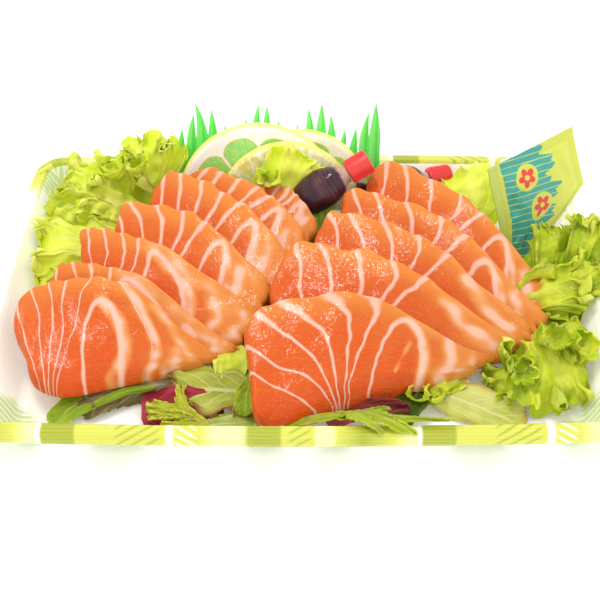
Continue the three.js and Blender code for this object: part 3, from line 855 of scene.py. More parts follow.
def cane_print(f, run, up):
    turn = ((run - FIRST_BAR * MM) / (REPEAT * MM)).math("FRACT")
    ramp = f.add("ValToRGB", {"Fac": turn})
    stops = ramp.color_ramp.elements
    for stop, (where, colour) in zip(stops, (CANE[0], CANE[-1])):
        stop.position, stop.color = where, colour
    for where, colour in CANE[1:-1]:
        stops.new(where).color = colour
    cane = ramp.outputs["Color"]
    for start, end, lean, colour in STROKES:
        slant = ((up * lean + run) / (STROKE_STEP * MM)).math("FRACT")
        stroke = f.step(slant, 0.2, 0.4) * f.step(slant, 0.75, 0.5)
        zone = f.step(turn, start, start + 0.02) * f.step(turn, end, end - 0.02)
        cane = f.tint(zone * stroke * 0.8, cane, colour)
    grain = (up * (2 * math.pi / (GRAIN_STEP * MM))).math("SINE")
    return f.tint(f.step(grain, 0.3, 1) * 0.08, cane, BAR)


# %% Print inside
LEAF_PATCHES = [(98, 61, 15), (61, 66, 11), (12, 67, 8)]  # mm out from the middle, and reach
INSIDE_WHITE, INSIDE_LEAF = paint(255, 254, 246), paint(176, 200, 108)
BLOT = 12  # mm by which the leaf shapes wander
RIB_STEP = 2.3  # mm


def leaf_patches(f, x, y):
    """Rises to 1 inside the faint leaf shapes."""
    blot = f.noise(f.place(), 70, 2)
    leaves = 0
    for out_x, out_y, reach in LEAF_PATCHES:
        away = abs(abs(x) - out_x * MM) + abs(abs(y) - out_y * MM)
        gap = blot * (BLOT * MM) + away
        leaves = f.math("MAXIMUM", leaves, f.step(gap, (reach + 7) * MM, (reach + 1) * MM))
    return leaves


def wall_ribs(f, run):
    fine = (run / (RIB_STEP * MM)).math("FRACT")
    return f.step(fine, 0.3, 0.45) * f.step(fine, 0.75, 0.6)


# %% Tray finish
SIDE_CREAM, SIDE_LIME, SIDE_SHADE = paint(253, 253, 240), paint(226, 234, 178), paint(222, 236, 172)
BLACK, WARM_WHITE = paint(0, 0, 0), paint(255, 246, 228)


def tray_finish():
    f = Finish("printed_plastic", 0.22, (0.4, (1, 1, 0.9), 3 * MM), emission_strength=0.12)
    x, y, z = f.axes(f.place())
    in_x = (TRAY_WIDTH / 2 + TRAY_BOW) * MM - abs(x)
    in_y = (TRAY_DEPTH / 2 + TRAY_BOW) * MM - abs(y)
    on_long = f.math("LESS_THAN", in_y, in_x)
    on_short = 1 - on_long
    inset = f.math("MINIMUM", in_x, in_y)
    run = x * on_long + y * on_short
    faded = on_short * f.step(abs(y), 58 * MM, 44 * MM)
    shade = f.step(f.noise(f.place(scale=(240, 12, 60)), 1, 2), 0.45, 0.7)
    cane = f.tint(faded, cane_print(f, run, z + inset), f.tint(shade * 0.5, SIDE_CREAM, SIDE_LIME))
    leaves, rib = leaf_patches(f, x, y), wall_ribs(f, run)
    far_right = f.step(x + y, 0.03, 0.1)
    printed = leaves * (0.85 - rib * 0.5) * (1 - far_right * 0.6)
    inside = f.tint(printed, INSIDE_WHITE, INSIDE_LEAF)
    inside = f.tint(faded * shade * 0.6, inside, SIDE_SHADE)
    on_rim = f.math("MAXIMUM", f.step(z, 18.6 * MM, 19 * MM), f.step(inset, 3.4 * MM, 3 * MM))
    # Painted light: the inner faces that look up glow faintly, to lift their shade.
    facing_up = f.axes(f.add("NewGeometry").outputs["Normal"])[2]
    painted_glow = f.tint(f.step(facing_up, 0, 0.15) * (1 - on_rim), BLACK, WARM_WHITE)
    bumps = f.relief(rib * leaves, 0.1)
    return f.coat_with(base_color=f.tint(on_rim, inside, cane), emission_color=painted_glow, normal=bumps)


complete(press_tray(), "tray", tray_finish())

# %% [markdown]
# ## The salad leaves
# A lettuce leaf is a thin sheet round a midrib. Its margin has grown longer than the rest, so it
# has to buckle: large waves carry smaller waves, and these carry smaller ones still. Cloth
# simulation could buckle a sheet, but slowly and never twice the same. So the waves are added by a
# formula, up to four sizes of them, each growing towards the margin. They push the sheet up and
# down and also to and fro along the margin, which rolls the frills over. Some cut ends are rolled
# into tubes, so a leaf can also be bent round its midrib.

# %% Keep leaves inside the tray
WALL_GAP, FLOOR_TOP, RIM_TOP = 1.5, 2, 20.8  # mm


def keep_inside(points):
    """Draws points below the rim in from the walls and up from the floor."""
    levels, insets = np.array(sorted((level, inset) for inset, level in WALL)).T
    room = WALL_GAP + np.interp(points[:, 2], levels, insets)
    inside = points.copy()
    for axis, size in ((0, TRAY_WIDTH), (1, TRAY_DEPTH)):
        inside[:, axis] = np.clip(points[:, axis], room - size / 2, size / 2 - room)
    inside[:, 2] = np.maximum(points[:, 2], FLOOR_TOP)
    return np.where(points[:, 2:] < RIM_TOP, inside, points)


# %% Leaf maker
NO_ROLL = 0.01  # a roll too small to see


def buckle(waves, along, across, margin, turn, draw):
    """Adds up the waves: how far the sheet rises, and how far it slips along the margin."""
    rise, slip = 0 * along, 0 * along
    for height, count, growth in waves:
        wander = 1.3 * ripple(along * 2, across, 1.6, draw.integers(999))
        phase = count * turn + wander + draw.uniform(0, 6)
        swell = height * margin**growth * (1 + 0.35 * ripple(turn, along, 0.9, draw.integers(999)))
        rise += swell * np.sin(phase)
        slip += 0.8 * swell * np.cos(phase)
    return rise, slip


def leaf(midrib, face, width, look, waves, grid, seed, base=0.45, tip=1.0, power=2.6, cup=0, jag=0,
         blister=0, lobes=None, sheet=0.45, fold=0, roll=NO_ROLL):
    """One leaf along a midrib. waves are (height in mm, how many, how close to the margin).

    roll is the angle from one margin to the other, so a leaf with a large roll is a tube.
    """
    draw = np.random.default_rng(seed)
    piece = unit_grid("leaf", *grid)
    u, v, _ = points_of(piece).T
    along, over = squircle(u, v, power)
    across = 2 * over - 1
    middle = along_curve(midrib, along)
    ahead = unit(along_curve(midrib, along + 0.01) - along_curve(midrib, along - 0.01))
    left = unit(np.cross(np.array(face, float), ahead))
    up = np.cross(ahead, left)
    half = width / 2 * mix(base, tip, np.sqrt(np.clip(along, 0, 1)))
    if lobes is not None:
        half = half * lobes(along, across)
    margin = np.maximum(abs(across), smoothstep(along, 0.55, 1))
    turn = np.arctan2(across, 0.25 + along)
    rise, slip = buckle(waves, along, across, margin, turn, draw)
    rise += cup * across**2 + fold * abs(across)
    reach = jag * margin**4 * (1 - 2.2 * abs(ripple(turn, 0 * turn, 0.11, draw.integers(999))))
    crest = 0.5 + rise / (0.01 + 1.2 * sum(height for height, *_ in waves))
    rise += blister * ripple(along * 40, across * width / 2, 8, draw.integers(999))
    sideways = np.cos(turn)[:, None] * left - np.sin(turn)[:, None] * ahead
    outward = np.cos(turn)[:, None] * ahead + np.sin(turn)[:, None] * left
    bend, radius = (roll / 2 * across)[:, None], (2 * half / roll)[:, None]
    round_rib = radius * (np.sin(bend) * left + (1 - np.cos(bend)) * up)
    lift = rise[:, None] * (np.cos(bend) * up - np.sin(bend) * left)
    frill = slip[:, None] * sideways + reach[:, None] * outward
    move_points(piece, keep_inside(middle + round_rib + lift + frill))
    for name, values in dict(turn=turn, margin=margin, crest=crest, along=along, across=across).items():
        note(piece, name, values)
    thicken(piece, sheet)
    piece.data.materials.append(leaf_looks[look])
    return piece


# %% [markdown]
# A leaf lets light through, so it glows where it is thin. It is palest along the rib and towards
# its base and strongest near the frills. Pleats fan out from the base, and the side veins leave the
# midrib at a slant. All of these are drawn from numbers kept at each point of the leaf: along,
# across, margin, the turn round the base, and the crest of a frill. The crests are painted paler
# and the troughs darker, a painted highlight and a painted shade. The leaves differ only in colour,
# so one recipe and a table of colours finish them all.

# %% Leaf finish
def leaf_finish(name, vein_share, pale, fresh, deep_and_shade, vein, edge=None):
    f = Finish(name, 0.42, (0.4, (0.8, 1, 0.25), 2 * MM), specular_ior_level=0.2)
    along, crest, aside = f.noted("along"), f.noted("crest"), abs(f.noted("across"))
    cloud = f.noise(f.place(), 95, 3)
    spots = f.noise(f.place(), 332.5, 2)
    fan = f.add("CombineXYZ", {0: f.noted("turn") * 22, 1: along * 3}).outputs[0]
    pleats = f.noise(fan, 1, 3)
    green = f.tint(f.step(cloud, 0.32, 0.62), deep_and_shade, fresh)
    green = f.tint(f.step(pleats, 0.5, 0.75) * 0.4, green, pale)
    # Painted highlight and painted shade: frill crests are made paler and troughs darker.
    green = f.tint(f.step(crest, 0.5, 1) * 0.3, green, pale)
    green = f.tint(f.step(crest, 0.5, 0.1) * 0.7, green, deep_and_shade)
    green = f.tint(f.step(aside * 0.55 + along, 0.55, 0.05) * 0.55, green, pale)
    if edge is not None:
        green = f.tint(f.step(cloud * 0.3 + f.noted("margin"), 0.95, 1.15), green, edge)
    side_vein = (along - aside * 0.35 + spots * 0.06).math("PINGPONG", 0.075)
    side_vein = f.step(side_vein, 0.016, 0.002) * f.step(aside, 0.9, 0.5)
    midrib = f.step(aside, 0.09, 0.04) * f.step(along, 1, 0.7)
    veins = f.math("MAXIMUM", side_vein, midrib)
    colour = f.tint(veins * vein_share, green, vein)
    bumps = f.relief(pleats, 0.35, f.relief(spots, 0.2))
    return f.coat_with(base_color=colour, normal=f.relief(veins, 0.3 * vein_share, bumps))


# %% Colours of the leaves
# How clear the veins are; then pale, fresh, deep and vein colours; then the margin if it differs.
# The pale colour also paints a highlight on the crests, and the deep colour a shade in the troughs.
LEAF_COLOURS = dict(
    bright_lettuce=(0.15, (248, 250, 162), (228, 238, 82), (200, 220, 40), (241, 246, 177)),
    green_lettuce=(0.2, (239, 242, 132), (209, 219, 52), (148, 173, 10), (228, 235, 135)),
    shaded_lettuce=(0.5, (150, 172, 60), (112, 146, 28), (84, 118, 12), (160, 180, 84)),
    olive_leaf=(0.6, (194, 194, 104), (166, 170, 56), (132, 140, 28), (214, 216, 150), (128, 70, 34)),
    baby_leaf_green=(0.5, (184, 198, 78), (156, 176, 36), (124, 150, 18), (196, 208, 104)),
    purple_underside=(0.5, (186, 168, 150), (140, 124, 88), (104, 88, 50), (190, 178, 150), (104, 84, 30)),
    radicchio_red=(0.25, (186, 70, 84), (158, 26, 48), (112, 10, 30), (214, 120, 130)),
    frond_lime=(0.5, (214, 210, 96), (190, 192, 48), (162, 170, 22), (216, 214, 110)),
    cut_stem=(0.5, (206, 214, 150), (172, 184, 84), (146, 162, 44), (214, 220, 160)),
    purple_leaf=(0.5, (148, 70, 66), (126, 36, 46), (86, 20, 30), (156, 84, 84)),
    dark_leaf=(0.5, (92, 108, 24), (64, 84, 8), (42, 60, 3), (98, 114, 34)),
    mizuna_green=(0.5, (200, 210, 92), (178, 194, 44), (142, 164, 18), (204, 212, 104)),
    pale_leaf=(0.5, (226, 226, 160), (206, 206, 108), (186, 190, 78), (234, 232, 178), (186, 150, 70)),
)
leaf_looks = {}
for name, (vein_share, *colours) in LEAF_COLOURS.items():
    leaf_looks[name] = leaf_finish(name, vein_share, *(paint(*colour) for colour in colours))

# %% [markdown]
# Two heaps of frilly lettuce stand at the left and right ends, with tubes where cut ends curl up.
# Three single pieces lie between the slices. A heap grown at random would not show the leaves that
# the picture shows, so every leaf is placed: three points of its midrib, the way its face looks,
# its width in mm, and a style.

# %% Styles of the lettuce
UPWARD = (0, 0, 1)
FRILLY = dict(
    waves=((3.4, 9, 1.5), (2.2, 24, 2.1), (1.3, 53, 2.8), (0.6, 104, 3.4)),
    cup=-2, jag=1.3, blister=0.8, sheet=0.3, grid=(74, 98),
)
FRILLY_COARSE = dict(FRILLY, grid=(54, 72))
SMALL_FRILLY = dict(
    waves=((1.6, 9, 1.6), (1.2, 24, 2.4), (0.6, 50, 3.4)), jag=0.6, blister=0.4, grid=(64, 84)
)
GENTLE = dict(waves=((1.2, 5, 1.6), (0.4, 16, 2.5)), cup=0.6, jag=0.3, blister=0.3, grid=(50, 30))
LOOSE = dict(GENTLE, waves=((1.6, 6, 1.4), (0.8, 15, 2.2)), grid=(54, 60), cup=-2)
TUBE = dict(
    waves=((0.9, 7, 1.6), (0.6, 19, 2.4)), jag=0.8, blister=0.3, sheet=0.3, grid=(30, 44),
    base=0.3, roll=5,
)
HEAP_SEEDS = range(100, 200)


def lay_leaves(name, node, look, leaves, seeds):
    """Makes one piece of some leaves. A style can bring a look of its own."""
    pieces = []
    for seed, (*place, style) in zip(seeds, leaves):
        pieces.append(leaf(*place, **{"look": look, **style}, seed=seed))
    complete(join(pieces, name), node)


# %% Lettuce heaps
lay_leaves("lettuce_heap_left", "lettuce_left", "bright_lettuce", [
    ([(-62, 28, 8), (-84, 27, 15), (-103, 27, 17)], UPWARD, 46, FRILLY),
    ([(-62, 46, 10), (-78, 54, 21), (-94, 61, 23)], UPWARD, 38, FRILLY),
    ([(-66, 54, 8), (-60, 60, 23), (-59, 63, 37)], (0.2, -1, 0.4), 28, FRILLY),
    ([(-70, 12, 6), (-88, 10, 9), (-101, 9, 12)], (0.2, 0, 1), 34, FRILLY),
    ([(-56, 40, 8), (-72, 45, 17), (-84, 46, 25)], (-0.3, -0.6, 1), 34, FRILLY),
    ([(-82, 38, 9), (-90, 43, 17), (-98, 47, 20)], (0.3, -0.5, 1), 28, FRILLY_COARSE),
    ([(-74, 58, 18), (-75, 53, 25), (-76, 47, 31)], UPWARD, 30, TUBE),
    ([(-66, 58, 22), (-66, 53, 28), (-66, 48, 33)], UPWARD, 26, TUBE),
], HEAP_SEEDS)
lay_leaves("lettuce_heap_right", "lettuce_right", "green_lettuce", [
    ([(90, -4, 9), (101, 5, 23), (107, 15, 35)], (-0.4, -0.5, 1), 22, FRILLY),
    ([(92, -1, 8), (96, 10, 16), (101, 21, 26)], (-0.2, -0.8, 1), 30, FRILLY_COARSE),
    ([(92, -9, 12), (101, -5, 22), (109, -1, 27)], (-0.3, -0.3, 1), 24, FRILLY_COARSE),
    ([(76, -8, 9), (90, -8, 19), (104, -8, 23)], (0, -0.3, 1), 28, FRILLY),
    ([(79, -20, 9), (86, -34, 16), (92, -54, 8)], (0.2, -0.4, 1), 40, FRILLY),
    ([(84, -14, 9), (95, -24, 15), (103, -36, 13)], (0.3, -0.3, 1), 34, FRILLY),
    ([(86, -26, 7), (74, -39, 9), (64, -41, 7)], UPWARD, 18, dict(FRILLY, grid=(48, 64))),
    ([(84, -30, 14), (86, -36, 19), (86, -42, 23)], UPWARD, 26, TUBE),
    ([(94, -28, 12), (97, -36, 17), (98, -42, 20)], UPWARD, 22, TUBE),
    ([(76, -36, 9), (76, -44, 13), (75, -50, 15)], UPWARD, 22, TUBE),
], HEAP_SEEDS)
lay_leaves("lettuce_leaf_back", "lettuce_back", "bright_lettuce", [
    ([(-9, 43, 10), (-3, 45, 24), (6, 49, 36)], (0, -1, 0.4), 38, SMALL_FRILLY),
    ([(-11, 46, 24), (-12, 42, 29), (-13, 37, 33)], UPWARD, 22, TUBE),
    ([(-8, 44, 18), (-8, 40, 22), (-8, 36, 25)], UPWARD, 18, TUBE),
], HEAP_SEEDS)
lay_leaves("lettuce_leaf_rear", "lettuce_rear", "bright_lettuce", [
    ([(64, 38, 8), (69, 49, 19), (66, 62, 24)], (-0.2, -0.6, 1), 28, LOOSE),
], HEAP_SEEDS)
lay_leaves("lettuce_leaf_middle", "lettuce_middle", "green_lettuce", [
    ([(-27, -24, 5), (-25, -33, 12), (-24, -42, 8)], UPWARD, 14, GENTLE),
], HEAP_SEEDS)

# %% [markdown]
# The mixed leaves along the front are small and all different: a smooth baby leaf folded over so
# that its purple underside shows, a lobed oak leaf, red radicchio, a forked frond, a cut stem, a
# pointed purple leaf, a dark round one, feathery mizuna over the rim, a flat pale leaf, and a
# curled piece of frill. The same maker builds them, with other outlines. A forked leaf is several
# narrow leaves joined.

# %% Styles of the small leaves
def oak_lobes(along, across):
    return 1 + 0.2 * np.cos(2 * math.pi * 3.2 * along + 0.6 * np.sign(across)) * abs(across)


def pointed(along, across):
    return 1.25 * np.sqrt(np.clip(1.02 - along, 0, 1)) * (1 - 0.25 * along)


TINY = dict(GENTLE, grid=(44, 26), sheet=0.4)
UNDERSIDE = dict(
    TINY, look="purple_underside", waves=((1.4, 6, 1.4), (0.7, 15, 2)), base=0.6, cup=-1.8, jag=0.6
)
OAK = dict(GENTLE, grid=(70, 44), lobes=oak_lobes, base=0.8, jag=1.2)
BROAD = dict(GENTLE, grid=(54, 32), base=0.9, power=4, cup=-1.2)
THICK = dict(TINY, sheet=1.6, base=0.9, power=3.4, cup=-1.6)
SMOOTH = dict(GENTLE, grid=(60, 36), base=0.75, blister=0.4)
STRIP = dict(grid=(30, 10), sheet=0.6, power=2.2, base=0.6, tip=0.9, waves=((0.4, 5, 1.5),), cup=-0.9)
CURLED = dict(STRIP, grid=(40, 18), waves=((0.9, 7, 1.3), (0.5, 17, 2)), jag=0.7, cup=-0.3)
FEATHER = dict(CURLED, sheet=0.35, lobes=pointed, base=1, tip=1, waves=((0.5, 6, 1.4),), jag=0.9)
FRILL = dict(SMALL_FRILLY, grid=(44, 28), waves=((1.4, 8, 1.4), (0.8, 22, 2.4)))
SMOOTH_TUBE = dict(TUBE, waves=((0.5, 5, 1.6), (0.3, 13, 2.4)), jag=0.3)


def front_leaf(name, node, slot, look, *leaves):
    lay_leaves(name, node, look, leaves, range(300 + len(name), 400, 7))


# %% The small leaves
front_leaf(
    "folded_baby_leaf", "baby_leaf", "dark_leaf", "baby_leaf_green",
    ([(-56, -41, 5.6), (-73, -47.5, 5.6), (-84, -58.5, 3.4)], UPWARD, 11, dict(TINY, base=0.7)),
    ([(-42, -42, 6.2), (-57, -45, 7.2), (-75, -53, 5)], (0, -0.5, 1), 11, UNDERSIDE),
    ([(-50, -44.5, 7.6), (-60, -47.5, 8), (-70, -52, 6.6)], (0, -0.6, 1), 3.4, STRIP),
)
front_leaf(
    "oak_leaf_olive", "oak_leaf", "dark_leaf", "baby_leaf_green",
    ([(-10, -47, 6), (-27, -46.5, 8), (-46, -45, 8)], (0, -0.25, 1), 21, dict(OAK, look="olive_leaf")),
    ([(-17, -42, 9), (-18, -50, 9.6), (-19, -57, 7.4)], (0, -0.4, 1), 8, TINY),
)
front_leaf(
    "radicchio_piece", "radicchio", "red_leaf", "radicchio_red",
    ([(-54, -53, 4), (-41, -53, 6), (-26, -53, 4.4)], (0, -0.4, 1), 17, BROAD),
)
front_leaf(
    "forked_frond", "frisee", "lettuce", "frond_lime",
    ([(-30, -61, 5.2), (-40, -57, 8.2), (-52, -54.5, 8.6)], (0, -0.5, 1), 6, CURLED),
    ([(-36, -59, 7.4), (-39.5, -53, 9.6), (-41, -47, 10)], (0.4, -0.3, 1), 5, CURLED),
    ([(-35, -59, 7.2), (-43, -58.4, 8.4), (-51, -58, 8)], (0, -0.5, 1), 4, CURLED),
    ([(-32, -61, 6.2), (-40, -61.4, 7.4), (-47, -62, 6.8)], (0, -0.5, 1), 3.6, CURLED),
)
front_leaf(
    "cut_stem_piece", "lettuce_stem", "lettuce", "cut_stem",
    ([(-36, -60, 3.6), (-25, -59, 4.6), (-14, -57.5, 3.6)], (0, -0.4, 1), 8, THICK),
)
front_leaf(
    "pointed_purple_leaf", "purple_leaf", "red_leaf", "purple_leaf",
    ([(8, -57, 6), (23, -56, 8.6), (37, -55.5, 8.4)], (0, -0.4, 1), 10,
     dict(TINY, lobes=pointed, base=1, fold=1)),
)
front_leaf(
    "round_dark_leaf", "dark_leaf", "dark_leaf", "dark_leaf",
    ([(44, -42, 6), (38, -51, 7), (32, -61, 4)], UPWARD, 13, dict(TINY, base=0.8)),
)
front_leaf(
    "mizuna_sprig", "mizuna", "lettuce", "mizuna_green",
    ([(-2, -62, 8), (13, -66, 17), (27, -71.5, 22.2), (51, -73, 22.4)], UPWARD, 4.6, FEATHER),
    ([(14, -63.5, 15), (18, -70, 21.8), (26, -78, 21.6)], UPWARD, 7, FEATHER),
    ([(20, -68, 20.6), (28, -73, 22.6), (37, -78.8, 21.6)], UPWARD, 6, FEATHER),
    ([(-6, -60, 7), (3, -62.5, 11), (12, -65.4, 16)], UPWARD, 6, FEATHER),
    ([(21, -68.4, 20.8), (25, -67.4, 21), (29, -66, 20)], UPWARD, 2.6, FEATHER),
)
front_leaf(
    "flat_pale_leaf", "lettuce_flat", "lettuce", "pale_leaf",
    ([(42, -43, 5.4), (60, -50.5, 4.6), (76, -59, 2.8)], (0, -0.2, 1), 17, SMOOTH),
)
front_leaf(
    "frill_piece", "lettuce_frill", "lettuce", "green_lettuce",
    ([(58, -40, 7), (50, -44, 8.4), (42, -46.5, 7)], (0, -0.5, 1), 9, FRILL),
    ([(41, -45, 3.8), (40, -49, 6.2), (39, -52.5, 9)], UPWARD, 17, SMOOTH_TUBE),
    ([(46, -45, 3.8), (45.6, -49, 6.2), (45, -52.5, 9)], UPWARD, 17, SMOOTH_TUBE),
)

# %% [markdown]
# Under the fish lies a thin bed of the same leaves. Only its edge shows, dark between the slices,
# so a few flat leaves are enough, with four more that prop the rear slices and one that stands up
# in the gap under the bottle.

# %% Salad bed
BED = dict(waves=((0.5, 7, 1.6), (0.3, 20, 2.6)), blister=0.15, grid=(36, 24), jag=0.8, sheet=0.4)
FLAT_LEAVES, BED_REACH, BED_MIDDLE = 9, (78, 44), (6, 2)
PROPS = ((-58, 38), (-38, 44), (56, 40), (76, 20))
bed_leaves = []
for i in range(FLAT_LEAVES):
    turn = 2 * math.pi * i / FLAT_LEAVES
    end = (BED_REACH[0] * math.cos(turn), BED_REACH[1] * math.sin(turn))
    midrib = np.column_stack([np.outer((0.1, 0.5, 0.92), end) + BED_MIDDLE, (4.6, 4, 3.4)])
    bed_leaves.append((midrib, UPWARD, 34, BED))
for x, y in PROPS:
    midrib = [(0.6 * x, 0.55 * y, 6), (0.85 * x, 0.85 * y, 12), (x, y, 18)]
    bed_leaves.append((midrib, UPWARD, 30, BED))
bed_leaves.append(([(6, 20, 7), (4, 29, 15), (1, 37, 21)], (0, -1, 0.6), 20, BED))
bed_seeds = [*range(500, 500 + FLAT_LEAVES), *(510 + x for x, _ in PROPS), 520]
lay_leaves("salad_bed_leaves", "salad_bed", "shaded_lettuce", bed_leaves, bed_seeds)

# %% [markdown]
# ## The lemons
# Three half slices of lemon stand behind the fish and lean back a little. A slice shows rings and
# spokes: thin yellow rind, wide cream pith, and rounded segments of juicy pulp. The front one is
# cut through the torn end of the fruit, with more pith than pulp. That is simple in polar terms, so
# the grid is bent round the middle, with angle along one side and radius along the other. The
# grid's own flat map then gives the finish the angle and radius for the segments.

# %% Lemon finish
RIND, PITH = paint(248, 240, 128), paint(255, 254, 240)
PULP_GREEN, PULP_YELLOW, PULP_RIM = paint(146, 216, 110), paint(198, 234, 132), paint(208, 202, 104)
SEGMENTS = 5  # in half a slice
PULP_EDGE, CORE = 0.86, 0.16  # of the radius


def lemon_finish(name, juicy, pith_speck, pith_streak):
    f = Finish(name, 0.3, (0.5, (1, 0.9, 0.6), 2 * MM), coat=(0.2, 0.15))
    angle, radius, _ = f.axes(f.place("UV"))
    off = abs((angle * SEGMENTS + 0.5).math("FRACT") * 2 - 1)
    gap = (1 - off) * (radius * 9)
    round_end = off.math("POWER", 3) * 0.14 + radius
    lobe = f.math("MINIMUM", gap - 0.35, (PULP_EDGE - round_end) * 26)
    lobe = f.math("MINIMUM", lobe, (radius - CORE) * 26)
    sacs = f.noise(f.place("UV", (95, 9, 1)), 1, 2, 0.4)
    pulp = f.tint(f.step(sacs, 0.35, 0.65) * 0.6, PULP_GREEN, PULP_YELLOW)
    # Painted glints: whitish specks of pith colour on the wet pulp.
    pulp = f.tint(f.step(sacs, 0.66, 0.8) * 0.4, pulp, PITH)
    pulp = f.tint(f.step(lobe, 0.9, 0.1), pulp, PULP_RIM)
    torn = f.noise(f.place("UV", (60, 5, 1)), 1, 3, 0.6)
    pith = f.tint(f.step(f.noise(f.place(), 500, 2), 0.4, 0.8), PITH, pith_speck)
    pith = f.tint(f.step(torn, 0.4, 0.62), pith, pith_streak)
    colour = f.tint(f.step(lobe, -0.15, 0.25) * juicy, pith, pulp)
    peel = f.noise(f.place(), 700, 2) * 0.03 + radius
    colour = f.tint(f.step(peel, 0.965, 1.01), colour, RIND)
    pores = f.noise(f.place(), 1100, 1) * f.step(radius, 0.95, 1)
    bumps = f.relief(pores, 0.4, f.relief(sacs * f.step(lobe, 0, 0.5), 0.08))
    return f.coat_with(base_color=colour, normal=bumps)


clean_cut = lemon_finish("lemon_clean_cut", 1, paint(250, 246, 204), PITH)
torn_cut = lemon_finish("lemon_torn_cut", 0.35, paint(246, 238, 160), paint(238, 222, 112))

# %% Stand the lemon slices
LEMONS = dict(front=(28, -5, 50.5), middle=(33, -16.5, 55), back=(28, 0, 59.5))  # radius, x, y
LEMON_THICKNESS, LEMON_LEAN, LEMON_FOOT = 4, math.radians(16), 12
LEMON_GRID = (84, 36)
for name, (radius, x, y) in LEMONS.items():
    piece = unit_slab(f"lemon_slice_{name}", *LEMON_GRID)
    u, v, z = points_of(piece).T
    turn = math.pi * (1 - u)
    aside, rise = radius * v * np.cos(turn), radius * v * np.sin(turn)
    half = LEMON_THICKNESS / 2 - 0.9 * smoothstep(v, 0.93, 1) ** 2
    wobble = 0.25 * ripple(aside, rise, 18, radius + int(x))
    flat = np.where(z < -0.5, -half, half) + wobble
    back = y + rise * math.sin(LEMON_LEAN) - flat * math.cos(LEMON_LEAN)
    height = LEMON_FOOT + rise * math.cos(LEMON_LEAN) + flat * math.sin(LEMON_LEAN)
    move_points(piece, np.column_stack([x + aside, back, height]))
    edit_all()
    bpy.ops.mesh.remove_doubles(threshold=1e-6)
    leave_edit()
    complete(piece, f"lemon_{name}", torn_cut if name == "front" else clean_cut)

# %% [markdown]
# ## The grass divider
# The divider is a strip of thin green plastic cut into blades and pleated down each blade. The
# sheet could be cut with booleans. It is quicker to start from a grid, raise its upper edge to the
# outline of the blades, push the middle of each blade forward, and then thicken it.

# %% Divider
DIVIDER_LEFT, DIVIDER_WIDTH, BLADES = -50.5, 83, 19
DIVIDER_FOOT, DIVIDER_Y, DIVIDER_LEAN = 2.5, 62.5, math.tan(math.radians(12))
LOW_TIP, HIGH_TIP, SLIT, HILLS, FIRST_HILL, PLEAT = 37, 48.5, 14, 3.57, 0.139, 0.7


def cut_divider():
    piece = unit_grid("grass_divider", BLADES * 12, 28)
    u, v, _ = points_of(piece).T
    blade = np.minimum(np.floor(u * BLADES), BLADES - 1)
    off = 2 * (u * BLADES - blade) - 1
    centre = (blade + 0.5) / BLADES
    tip = mix(LOW_TIP, HIGH_TIP, 0.5 + 0.5 * np.cos(2 * math.pi * HILLS * (centre - FIRST_HILL)))
    height = mix(DIVIDER_FOOT, tip - SLIT * abs(off) ** 1.15, v)
    sway = np.random.default_rng(6).normal(0, 0.9, BLADES)[blade.astype(int)]
    lift = np.clip((height - tip + SLIT) / SLIT, 0, 1)
    fold = -PLEAT * np.cos(math.pi * off) * mix(0.4, 1, v)
    x = DIVIDER_LEFT + DIVIDER_WIDTH * u + sway * lift**2
    move_points(piece, np.column_stack([x, DIVIDER_Y + height * DIVIDER_LEAN + fold, height]))
    note(piece, "lift", lift)
    note(piece, "off", off)
    thicken(piece, 0.35)
    return piece


def divider_finish():
    f = Finish("green_film", 0.28, (0.35, (0.3, 1, 0.3), 2 * MM))
    off = f.noted("off")
    # Painted light and painted shade: the left half of each blade is lighter, and a darker line runs down
    # the right side of each fold.
    crease = f.step(abs(off - 0.25), 0.3, 0.05)
    green = f.tint(crease * 0.6, paint(126, 236, 116), paint(74, 204, 86))
    green = f.tint(f.step(off, 0, -0.8) * 0.5, green, paint(172, 246, 154))
    green = f.tint(f.noted("lift") * 0.3, green, paint(120, 240, 116))
    return f.coat_with(base_color=green)


complete(cut_divider(), "divider", divider_finish())

# %% [markdown]
# ## The sauce bottles
# Each bottle is a small soft fish of clear plastic, filled with dark sauce, with a ribbed red cap
# on its mouth. The body is drawn out ring by ring from the tail, with an extrude and a resize for
# each ring. The two bottles differ only in place, so each is modelled along one axis and then laid
# along its own line.

# %% Draw out a bottle and its cap
FISH = [  # mm from the tail, half height, half thickness
    (0, 3.8, 0.9), (2, 3.5, 1.2), (5, 2.6, 1.8), (9, 6, 4), (15, 7.7, 5.5), (20.5, 7.7, 5.6),
    (25, 6.2, 5.2), (27.5, 4.2, 4.2), (28.5, 3.3, 3.3), (30, 3.3, 3.3),
]
RINGS = 44
CAP_START, CAP_LENGTH, CAP_RADIUS, CAP_RIBS = 30.35, 9.5, 4.75, 30
CAP_ROUND, RIB_GAP, RIB_HEIGHT = 0.7, 0.07, 0.22
CAP_SIDE = 3e-6  # square metres, smaller than a side face and larger than the rounded edge's


def draw_bottle(name):
    add = bpy.ops.mesh.primitive_circle_add
    body = begin(name, add, vertices=40, radius=MM, fill_type="NGON")
    edit_all()
    last = (0, 1, 1)
    for ring in along_curve(FISH, np.linspace(0, 1, RINGS)):
        if ring[0] > 0:
            onward = {"value": (0, 0, (ring[0] - last[0]) * MM)}
            bpy.ops.mesh.extrude_region_move(TRANSFORM_OT_translate=onward)
        grow = (ring[2] / last[2], ring[1] / last[1], 1)
        bpy.ops.transform.resize(value=grow, center_override=(0, 0, ring[0] * MM))
        last = ring
    bpy.ops.mesh.select_all(action="SELECT")
    bpy.ops.mesh.normals_make_consistent(inside=False)
    leave_edit()
    note(body, "from_tail", points_of(body)[:, 2] / MM)
    return body


